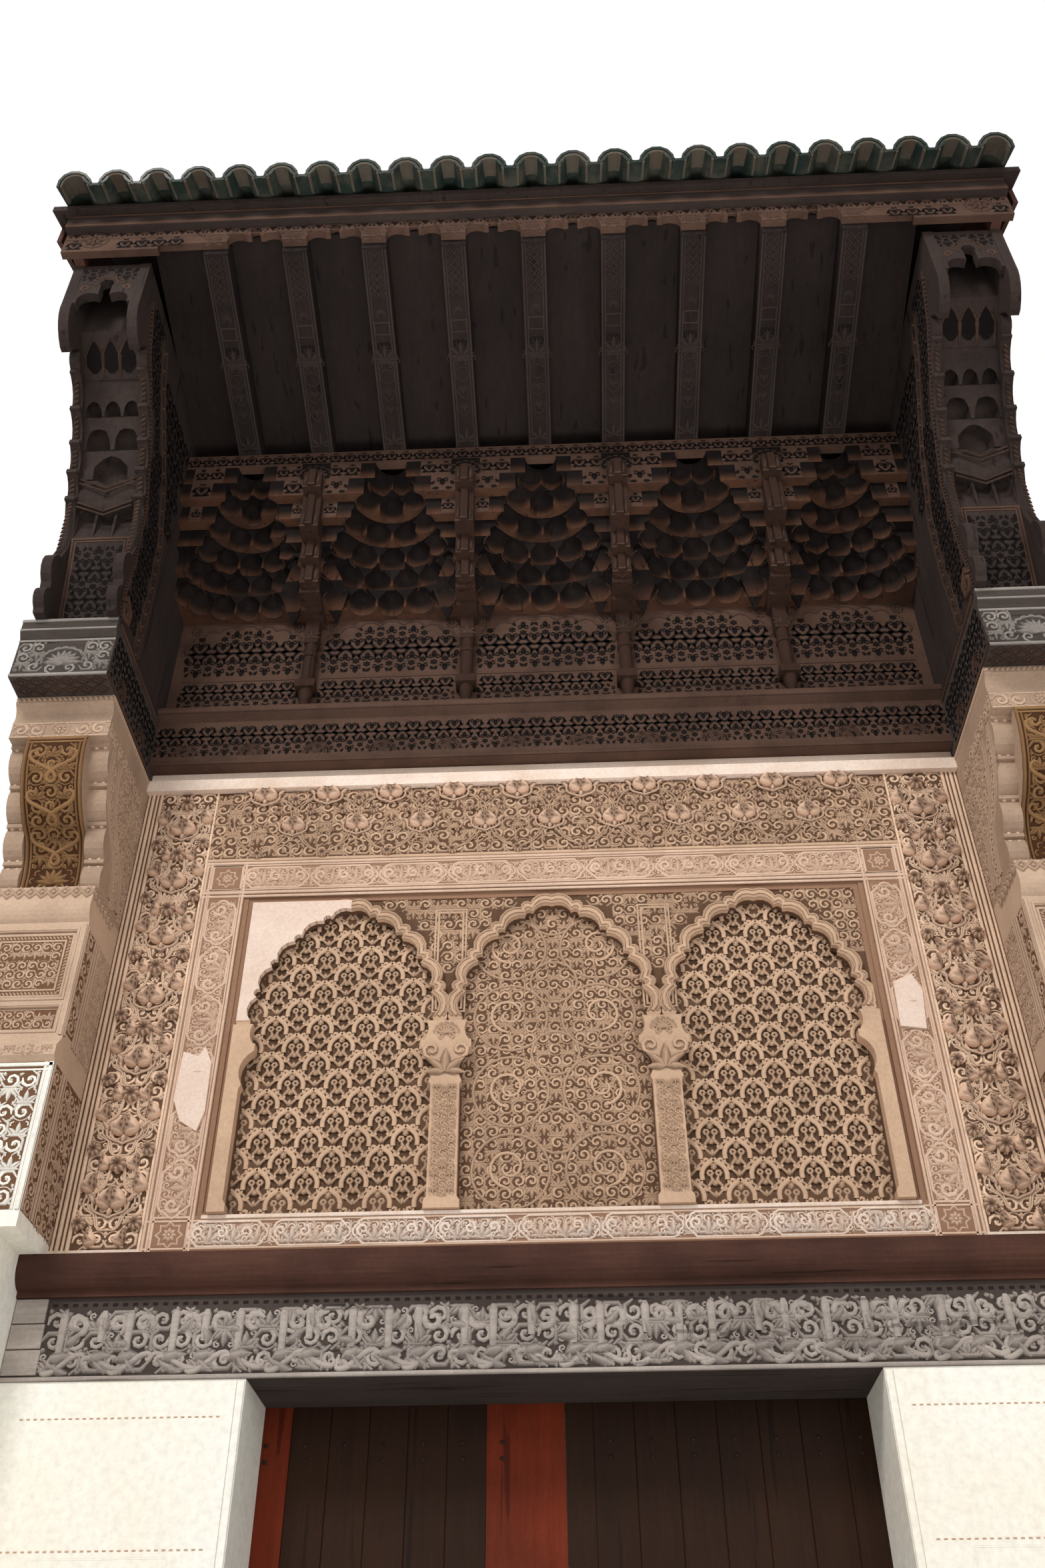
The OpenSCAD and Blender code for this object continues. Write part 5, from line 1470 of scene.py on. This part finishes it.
# Hood
class PORTAL_OT_beams(bpy.types.Operator):
    """Carves the beams under the hood"""
    bl_idname = "portal.beams"
    bl_label = "Beams"

    def execute(self, context):
        for side, word in SIDES:
            self.side_beam(side, word)
        low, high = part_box("beam_back")
        back = Piece("beam_back_carving", "cedar")
        strands = self.shell_arches(low.x, low.z + 0.045, high.x, high.z - 0.12, 0.42)
        strands += bar(low.x, low.z + 0.014, high.x, low.z + 0.014, 0.012)
        back.carve(strands, front(low.y + 0.05))
        back.carve(bar(low.x, high.z - 0.03, high.x, high.z - 0.03, 0.028, "bulb"), front(low.y), 0.5)
        back.done()
        return {"FINISHED"}

    def shell_arches(self, x0, z0, x1, z1, pitch):
        """Incised hearts with a low row of raised arcs round small shells"""
        strands = incised(x0, z0, x1, z1, 0.13)
        count = max(1, round((x1 - x0) / pitch))
        step = (x1 - x0) / count
        for i in range(count):
            x = x0 + (i + 0.5) * step
            for radius in (0.085, 0.068, 0.052):
                strands += strand(circle_points(radius, 8, 0, math.pi, x, z0 + 0.03), 0.006)
            strands += moved(shell(0.04), x, z0 + 0.035)
        return strands

    def side_beam(self, side, word):
        low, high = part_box("beam_right")
        lip = high.z - 0.14
        out = -low.y - 0.03
        middle = (low.x + high.x) / 2
        strands = scroll_field(low.x + 0.015, low.z + 0.04, high.x - 0.015, lip - 0.03, 0.075, 44,
                               lambda x, y, size: abs(x - middle) > 0.13)
        strands += moved(shell(0.125, 9), middle, low.z + 0.09)
        strands += moved(strand(circle_points(0.155, 12, 0.1, math.pi - 0.2), 0.007), middle, low.z + 0.07)
        strands += levels(low.x, high.x, (low.z + 0.012, 0.012), (lip - 0.012, 0.01))
        face = Piece(f"beam_{word}_front", "silver", side=side)
        face.carve(strands, front(-out), 1.1)
        face.carve(levels(low.x, high.x, (lip + 0.055, 0.008), (high.z - 0.014, 0.012)), front(low.y), 1.1)
        face.done()
        strands = self.shell_arches(0.12, low.z + 0.05, out - 0.03, high.z - 0.06, 0.4)
        strands += levels(0.1, out, (low.z + 0.016, 0.012), (high.z - 0.02, 0.014))
        inner = Piece(f"beam_{word}_side", "cedar", side=side)
        inner.carve(strands, facing_in(side, low.x))
        start = 0.02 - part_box("pier_right_console")[0].y
        net = diamonds(low.x + 0.02, start, high.x - 0.02, out - 0.01, 0.09, 0.008)
        inner.carve(net, soffit(low.z))
        inner.done()


class PORTAL_OT_hood(bpy.types.Operator):
    """Carves the hood's back, its colonnettes and its vault"""
    bl_idname = "portal.hood"
    bl_label = "Hood Back"

    def execute(self, context):
        low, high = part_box("hood_panel")
        self.edges = [low.x, *RIB_PLACES, high.x]
        self.panels(low, high)
        self.low, vault_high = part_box("hood_vault")
        self.head = vault_high.z
        self.tier = (self.head - self.low.z) / VAULT_TIERS
        self.ribs(low.y - 0.096, high.z - 0.26)
        self.niches()
        return {"FINISHED"}

    def reach(self, k):
        """How far tier k of the vault stands out from the wall"""
        return -self.low.y * (0.55 + 0.45 * min(1, k / 4))

    def panels(self, low, high):
        """Incised panels between the colonnettes, each under a lobed line"""
        strands = []
        for a, b in zip(self.edges, self.edges[1:]):
            a, b = a + 0.07, b - 0.07
            middle, half = (a + b) / 2, (b - a) / 2
            top = high.z - 0.04

            def under(x, y, size, middle=middle, half=half, top=top):
                return y + size * 0.5 < top - 0.02 - 0.2 * (abs(x - middle) / half) ** 3

            strands += incised(a + 0.005, low.z + 0.33, b - 0.005, top, 0.15, under)
            strands += incised(a + 0.005, low.z + 0.03, b - 0.005, low.z + 0.31, 0.13)
            turns = [math.pi * i / 9 for i in range(10)]
            lobes = [(middle + half * math.cos(turn), top - 0.26 + 0.24 * math.sin(turn) ** 0.7)
                     for turn in turns]
            line = [lobes[0]]
            for p, q in zip(lobes, lobes[1:]):
                line += arc(p, q, -0.3, 3)[1:]
            strands += strand(line, 0.01)
            strands += bar(a, low.z + 0.32, b, low.z + 0.32, 0.008)
            strands += moved(flower(0.05), a + 0.04, top - 0.03) + moved(flower(0.05), b - 0.04, top - 0.03)
        Piece("hood_panel_carving", "cedar").carve(strands, front(low.y)).done()

    def ribs(self, depth, neck):
        """Small carving and light edges on the colonnettes, the light being painted highlight, and leaning
        wings beside the ribs
        """
        light = Piece("rib_edges", "cedar_highlight")
        wings = Piece("vault_wings", "vault")
        last_tier = self.low.z + (VAULT_TIERS - 1) * self.tier
        for rib in RIB_PLACES:
            light.carve(moved(palmette(0.08), rib, neck), front(depth), 0.8)
            light.carve(moved(shell(0.1), rib, last_tier + 0.02), front(self.low.y - 0.012), 1.2)
            # A dark patch over the top tier at each rib: painted shade
            light.carve(ground(rib - 0.1, last_tier, rib + 0.1, self.head), front(self.low.y - 0.01))
            for first, last in ((0, 0), (1, 1), (2, 3), (4, 4)):
                out = -self.reach(last)
                z = self.low.z + first * self.tier
                for half, reach in ((RIB_HALF, 0.07), (0.024, 0.095)):
                    edge = bar(rib - half, z + 0.008, rib + half, z + 0.008, 0.008)
                    light.carve(edge, front(out - reach), 0.6)
                sprig = moved(leaf(self.tier * 0.7, 0.014), rib + 0.042, z + 0.03)
                light.carve(mirrored(sprig, rib), front(out - 0.07))
            place = flat((rib, -0.105, self.low.z), (1, 0, 0), (0, -0.75, 1))
            for side in (1, -1):
                outline = [(side * x, y) for x, y in ((RIB_HALF, 0.06), (RIB_HALF, 0.3), (0.13, 0.3),
                                                      (0.235, 0.11), (0.15, -0.06))]
                wings.slab(outline, place, 0.02)
        light.done()
        wings.done()

    def niches(self):
        """Light rims round the mouths of the vault's cells, their light a painted highlight, and carved
        facings beside its upper tiers
        """
        rims = Piece("vault_rims", "cedar_highlight")
        faces = Piece("vault_carving", "cedar")
        for a, b in zip(self.edges, self.edges[1:]):
            middle = (a + b) / 2
            for k in range(VAULT_TIERS):
                shrink, cells = 1 - k / VAULT_TAPER, 7 - k
                out, z = self.reach(k), self.low.z + k * self.tier
                wide = ((b - a) - 2 * RIB_HALF) / 2 * shrink
                mouth = 0.45 * math.pi * wide / cells
                deep = (out - 0.06 - mouth) * shrink
                arcs = []
                for i in range(cells):
                    turn = math.pi * (i + 0.5) / cells
                    x, y = -wide * math.cos(turn), -deep * math.sin(turn)
                    points = circle_points(mouth + 0.003, 8, math.atan2(y, x) - 1.3, 2.6, middle + x, out + y)
                    arcs += strand(points, 0.005)
                rims.carve(arcs, soffit(z))
                if k < 3:
                    continue
                inner, face = wide + mouth + 0.02, -out - 0.006
                for start, end in ((a + 0.065, middle - inner), (middle + inner, b - 0.065)):
                    faces.block((start, face, z), (end, -out + 0.001, z + self.tier))
                carving = incised(a + 0.075, z + 0.012, middle - inner, z + self.tier - 0.012, 0.12)
                faces.carve(mirrored(carving, middle), front(face))
        rims.done()
        faces.done()


class PORTAL_OT_brackets(bpy.types.Operator):
    """Carves the scalloped side brackets and their head plates"""
    bl_idname = "portal.brackets"
    bl_label = "Side Brackets"

    def execute(self, context):
        low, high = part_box("bracket_right_boards")
        span, tall = 1.96, high.z - low.z
        steps = ((0.555, 0), (0.56, 0.09), (0.55, 0.215), (0.573, 0.415), (0.614, 0.485), (0.654, 0.568),
                 (0.716, 0.647), (0.786, 0.73), (0.835, 0.775), (0.96, 1))
        self.reaches = [span * share for share, _ in steps]
        self.heights = [low.z + share * tall for _, share in steps]
        inner, outer = low.x + 0.065, low.x + 0.435
        middle = (inner + outer) / 2
        for side, word in SIDES:
            piece = Piece(f"bracket_{word}_carving", "cedar", side=side)
            panel = bent([(0, -0.888, low.z), (0, -1.038, low.z + 0.723)])
            strands = incised(inner + 0.045, 0.05, outer - 0.045, panel.length - 0.04, 0.14)
            for inset, width in ((0.01, 0.008), (0.03, 0.006)):
                strands += rectangle(inner + inset, inset, outer - inset, panel.length - inset, width)
            piece.carve(strands, panel)
            piece.carve(self.cheek(low.z, high.z), facing_in(side, low.x))
            piece.carve(self.plate(), front(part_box("bracket_plates")[0].y))
            piece.done()
            # Trim of the boards in the lighter cedar: painted highlight
            trim = Piece(f"bracket_{word}_trim", "cedar_highlight", side=side)
            rises = np.linspace(low.z + 0.45, self.heights[7], 60)
            rim = bent([(0, -self.edge(z) - 0.004, z) for z in rises])
            for x in (low.x + 0.033, low.x + 0.467):
                trim.carve(rope([(x, 0.01), (x, rim.length - 0.01)], 0.014, 0.034), rim)
            keel = []
            for y in (0.08, 0.11, 0.255, 0.285):
                keel += strand([(inner + 0.01, y), (middle, y - 0.07), (outer - 0.01, y)], 0.007)
            trim.carve(keel, bent([(0, -self.edge(low.z + 0.9) + 0.02, low.z + 0.86),
                                   (0, -self.edge(low.z + 1.16) + 0.02, low.z + 1.16)]))
            fans = []
            for x in (middle - 0.11, middle, middle + 0.11):
                fans += thick(moved(leaf(0.2, 0.05), x, 0.04), 1, "pit")
                for end in (-0.055, 0.055):
                    fans += strand([(x + end, 0.01), (x + end * 1.1, 0.15), (x, 0.27)], [0.007, 0.01, 0.005])
            trim.carve(fans, bent([(0, -1.481, low.z + 1.759), (0, -1.695, low.z + 1.976)]))
            trim.done()
        return {"FINISHED"}

    def edge(self, z):
        """How far the boards stand out from the wall at a height"""
        return float(np.interp(z, self.heights, self.reaches))

    def cheek(self, foot, head):
        """The inner face of the inner board, as distances from the wall and heights"""
        strands = incised(0.5, foot + 0.06, 1.9, head - 0.1, 0.12,
                          lambda d, z, size: self.edge(z) - 0.33 < d < self.edge(z) - 0.1)
        strands += incised(0.6, foot + 0.06, 1.9, head - 0.3, 0.17,
                           lambda d, z, size: 0.62 < d < self.edge(z) - 0.46)
        heights = [foot + 0.02 + i * 0.06 for i in range(int((head - foot - 0.1) / 0.06))]
        for inset in (0.07, 0.345, 0.44):
            strands += strand([(self.edge(z) - inset, z) for z in heights], 0.007)
        strands += rope([(self.edge(z) - 0.04, z) for z in heights[::2]], 0.012, 0.03)
        for z in heights[::2]:
            d = self.edge(z) - 0.393
            corners = [(d - 0.03, z), (d, z - 0.05), (d + 0.03, z), (d, z + 0.05)]
            strands += strand(corners, 0.006, closed=True)
            strands += moved(button(0.012), d, z)
        return strands + moved(spiral(0.1, 1.8, 0), self.edge(foot) - 0.12, foot + 0.11)

    def plate(self):
        """Carving round the trefoil of the head plate"""
        low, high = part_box("bracket_plates")
        middle = high.x - 0.185
        pivot = low.z + (high.z - low.z) * 0.5
        strands = incised(middle - 0.17, pivot + 0.01, middle + 0.17, high.z - 0.02, 0.12,
                          lambda x, y, size: math.hypot(x - middle, y - pivot) > 0.12)
        strands += rope(circle_points(0.095, 10, -0.2, math.pi + 0.4, middle, pivot), 0.01, 0.024)
        strands += strand(circle_points(0.072, 10, -0.4, math.pi + 0.8, middle, pivot), 0.006)
        return strands + mirrored(moved(spiral(0.035), middle + 0.13, pivot - 0.05), middle)


# Roof
class PORTAL_OT_rafters(bpy.types.Operator):
    """Carves the undersides of the rafters, the frieze behind them and the boards of the eave"""
    bl_idname = "portal.rafters"
    bl_label = "Rafters and Eave"

    def execute(self, context):
        low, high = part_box("rafters")
        pitch, half_width = 0.517, 0.08
        places = [(i - 4) * pitch for i in range(9)]
        rise = (high.z - 0.18 - low.z) / -low.y
        under = bent([(0, 0, low.z), (0, low.y, low.z - low.y * rise)])
        strands = []
        for x in places:
            for inset, size in ((0.008, 0.008), (0.026, 0.005)):
                edge = x + half_width - inset
                strands += mirrored(bar(edge, 0.62, edge, under.length - 0.01, size), x)
            for motif, along in ((palmette(0.1), 0.66), (heart(0.055), 0.9), (heart(0.055), 1.03),
                                 (thick(heart(0.05), 1.2, "pit"), 1.36), (shell(0.085, 9), 1.24),
                                 (palmette(0.11), 1.27), (shell(0.048), 1.58)):
                strands += moved(motif, x, along)
            strands += ring(0.05, 10, 0.006, x, 1.15)
            strands += rectangle(x - 0.05, 1.44, x + 0.05, 1.52, 0.006)
            strands += diamonds(x - 0.05, 1.68, x + 0.05, under.length - 0.03, 0.05, 0.006)
        Piece("rafter_carving", "cedar_soffit").carve(strands, under).done()
        low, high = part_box("rear_frieze")
        strands = incised(low.x, low.z + 0.015, high.x, high.z - 0.015, 0.1)
        Piece("frieze_carving", "cedar").carve(strands, front(low.y)).done()
        self.fascia(places, pitch)
        low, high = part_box("eave_plank")
        strands = levels(low.x, high.x, (low.z + 0.014, 0.012), (low.z + 0.04, 0.006), (high.z - 0.03, 0.01))
        Piece("eave_fillets", "cedar").carve(strands, front(low.y)).done()
        return {"FINISHED"}

    def fascia(self, places, pitch):
        low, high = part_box("fascia")
        end = high.x - 0.2
        strands = levels(low.x, high.x, (high.z - 0.012, 0.008), (high.z - 0.104, 0.004))
        strands += incised(low.x + 0.02, high.z - 0.1, high.x - 0.02, high.z - 0.024, 0.1)
        for side, _ in SIDES:
            x0, x1 = sorted((side * (high.x - 0.02), side * (high.x - 0.8)))
            strands += incised(x0, low.z + 0.02, x1, high.z - 0.11, 0.11,
                               lambda x, y, size: abs(abs(x) - end) > 0.12)
        for x in places:
            strands += moved(shell(0.062), x, low.z + 0.075)
            strands += mirrored(moved(spiral(0.02, count=8), x + 0.035, low.z + 0.02), x)
            strands += mirrored(moved(leaf(0.07, 0.014, 0.4), x + 0.075, low.z + 0.12, -0.5), x)
        for x in places[:-1]:
            points = circle_points(0.062, 10, -0.6, math.pi + 1.2, x + pitch / 2, low.z + 0.15)
            strands += strand(points, 0.006)
        medallion = moved(flower(0.075), end, low.z + 0.13) + ring(0.09, 12, 0.006, end, low.z + 0.13)
        strands += mirrored(medallion)
        Piece("fascia_carving", "cedar").carve(strands, front(low.y)).done()


def tile_template(name, low_radius, high_radius, length, thickness, start, sweep):
    """A tapered bent tile: its section is spun about the middle line, which is the second axis"""
    bm = bmesh.new()
    bm.verts.layers.float.new("hollow")
    corners = [(low_radius, 0), (low_radius - thickness, 0), (high_radius - thickness, length),
               (high_radius, length)]
    face = bm.faces.new([bm.verts.new((r * math.cos(start), y, r * math.sin(start))) for r, y in corners])
    bmesh.ops.spin(bm, geom=[face, *face.edges, *face.verts], cent=(0, 0, 0), axis=(0, -1, 0), angle=sweep,
                   steps=7, use_duplicate=False)
    bmesh.ops.recalc_face_normals(bm, faces=bm.faces)
    return template(name, bm)


def laid(place, at, centre, span=1.0):
    """The roof's plane with its origin moved down the slope, and lengths along it shortened"""
    return lambda local: place(local * (1, span, 1) + (0, -at, centre))


class PORTAL_OT_tiles(bpy.types.Operator):
    """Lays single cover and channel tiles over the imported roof"""
    bl_idname = "portal.tiles"
    bl_label = "Roof Tiles"

    def execute(self, context):
        rows = context.scene.portal_sizes.tile_rows
        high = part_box("roof_tiles")[1]
        radius, shell_thick, pitch, lift, columns = 0.118, 0.016, 0.27, 0.018, 22
        under = radius - shell_thick - 0.004
        slope = math.radians(24)
        base = high.z - (radius + lift) * math.cos(slope)
        place = flat((0, 0, base), (1, 0, 0), (0, math.cos(slope), math.sin(slope)))
        length = 2.27 / math.cos(slope)
        step = (length - 0.02) / rows
        long = step + 0.075
        cover = tile_template("cover", radius, under, long, shell_thick, 0, math.pi)
        channel = tile_template("channel", under, radius, long, shell_thick, math.pi + 0.36, math.pi - 0.72)
        lining = tile_template("lining", under - 0.002, under - 0.002, 0.16, 0.014, 0, math.pi)
        piece = Piece("tiles", "glaze")
        lime = Piece("tile_lime", "lime")
        rng = random.Random(5)
        for column in range(2 * columns + 1):
            x = (column - columns) / 2 * pitch
            covers = column % 2 == 0
            kind, centre = (cover, lift) if covers else (channel, radius)
            for row in range(rows):
                at = length - step * row
                span = min(1.0, (at - 0.001) / long)
                if span < 0.3:
                    continue
                turn = rng.uniform(-0.008, 0.008) if row else 0
                piece.stamp(kind, laid(place, at, centre, span), x, 0, turn)
            if covers:
                lime.stamp(lining, laid(place, length - 0.004, centre), x)
        piece.done(["roof_tiles"])
        lime.done()
        return {"FINISHED"}


# Stage
class PORTAL_OT_stage(bpy.types.Operator):
    """Adds the floor, the lights, the world and the camera"""
    bl_idname = "portal.stage"
    bl_label = "Stage"

    def execute(self, context):
        stage = context.scene.portal_stage
        self.camera(context.scene, stage)
        self.lights(context.scene)
        self.floor(context.scene, stage)
        self.world(context.scene)
        return {"FINISHED"}

    def camera(self, scene, stage):
        """A camera at the photo's place and angle"""
        look = Vector((math.sin(stage.yaw) * math.cos(stage.pitch),
                       math.cos(stage.yaw) * math.cos(stage.pitch), math.sin(stage.pitch)))
        right = Vector((math.cos(stage.yaw), -math.sin(stage.yaw), 0))
        up = right.cross(look)
        right, up = (right * math.cos(stage.roll) + up * math.sin(stage.roll),
                     up * math.cos(stage.roll) - right * math.sin(stage.roll))
        turn = Matrix((right, up, -look)).transposed().to_4x4()
        data = bpy.data.cameras.new("camera")
        data.sensor_width = 36
        data.lens = stage.lens
        data.clip_end = 200
        camera = bpy.data.objects.new("camera", data)
        eye = (stage.eye_side, -stage.eye_distance, stage.eye_height)
        camera.matrix_world = Matrix.Translation(eye) @ turn
        scene.collection.objects.link(camera)
        scene.camera = camera

    def lights(self, scene):
        """Soft round lamps; the street light stands for the bright ground that lights the hood from below"""
        for name, place, aim, size, power, spread in (
                ("sun_patch", (-6, -14, 16), (0, 0, 5), 5, 1800, 180),
                ("front_fill", (7, -14, 7), (0, 0, 6), 10, 500, 180),
                ("street_light", (0, -3.4, 0.5), (0, -2.2, 9.5), 4, 45, 45),
                ("rear_fill", (-4, 14, 12), (0, 0, 5), 10, 900, 180)):
            data = bpy.data.lights.new(name, "AREA")
            data.shape = "DISK"
            data.size = size
            data.energy = power
            data.spread = math.radians(spread)
            lamp = bpy.data.objects.new(name, data)
            lamp.location = place
            lamp.rotation_euler = (Vector(aim) - Vector(place)).to_track_quat("-Z", "Y").to_euler()
            lamp.visible_camera = False
            scene.collection.objects.link(lamp)

    def floor(self, scene, stage):
        mesh = bpy.data.meshes.new("floor")
        bm = bmesh.new()
        bmesh.ops.create_grid(bm, x_segments=1, y_segments=1, size=stage.floor_size / 2)
        bm.to_mesh(mesh)
        bm.free()
        floor = bpy.data.objects.new("floor", mesh)
        scene.collection.objects.link(floor)

    def world(self, scene):
        """Even light, and plain white behind the object"""
        world = bpy.data.worlds.new("world")
        world.use_nodes = True
        build = Shader(world.node_tree)
        world.node_tree.nodes.clear()
        path = build.node("ShaderNodeLightPath").outputs
        seen = build.maths("MAXIMUM", path["Is Camera Ray"],
                           build.maths("MAXIMUM", path["Is Glossy Ray"], path["Is Transmission Ray"]))
        strength = build.node("ShaderNodeMix", {0: seen, 2: 0.5, 3: 1.0})
        light = build.node("ShaderNodeBackground", {"Color": (1, 1, 1, 1), "Strength": strength.outputs[0]})
        build.ends(build.node("ShaderNodeOutputWorld"), {"Surface": light.outputs["Background"]})
        scene.world = world


class PORTAL_PT_panel(bpy.types.Panel):
    """Lists the pieces of the portal"""
    bl_label = "Portal Bay"
    bl_idname = "PORTAL_PT_panel"
    bl_space_type = "VIEW_3D"
    bl_region_type = "UI"
    bl_category = "Portal"

    def draw(self, context):
        for operator in OPERATORS:
            self.layout.operator(operator.bl_idname)
        for group in (context.scene.portal_stage, context.scene.portal_sizes, context.scene.portal_colours):
            box = self.layout.box()
            for name in group.__annotations__:
                box.prop(group, name)


OPERATORS = [PORTAL_OT_stage, PORTAL_OT_finishes, PORTAL_OT_bands, PORTAL_OT_frame, PORTAL_OT_arcade,
             PORTAL_OT_lintel, PORTAL_OT_doors, PORTAL_OT_walls, PORTAL_OT_piers, PORTAL_OT_beams,
             PORTAL_OT_hood, PORTAL_OT_brackets, PORTAL_OT_rafters, PORTAL_OT_tiles]
CLASSES = [PortalStage, PortalColours, PortalSizes, *OPERATORS, PORTAL_PT_panel]


def register():
    for cls in CLASSES:
        bpy.utils.register_class(cls)
    bpy.types.Scene.portal_stage = PointerProperty(type=PortalStage)
    bpy.types.Scene.portal_colours = PointerProperty(type=PortalColours)
    bpy.types.Scene.portal_sizes = PointerProperty(type=PortalSizes)


def unregister():
    del bpy.types.Scene.portal_stage
    del bpy.types.Scene.portal_colours
    del bpy.types.Scene.portal_sizes
    for cls in reversed(CLASSES):
        bpy.utils.unregister_class(cls)


def main():
    register()
    bpy.ops.portal.stage()
    bpy.ops.portal.finishes()
    bpy.ops.portal.bands()
    bpy.ops.portal.frame()
    bpy.ops.portal.arcade()
    bpy.ops.portal.lintel()
    bpy.ops.portal.doors()
    bpy.ops.portal.walls()
    bpy.ops.portal.piers()
    bpy.ops.portal.beams()
    bpy.ops.portal.hood()
    bpy.ops.portal.brackets()
    bpy.ops.portal.rafters()
    bpy.ops.portal.tiles()
    bpy.context.scene.view_settings.view_transform = "Standard"


if __name__ == "__main__":
    main()
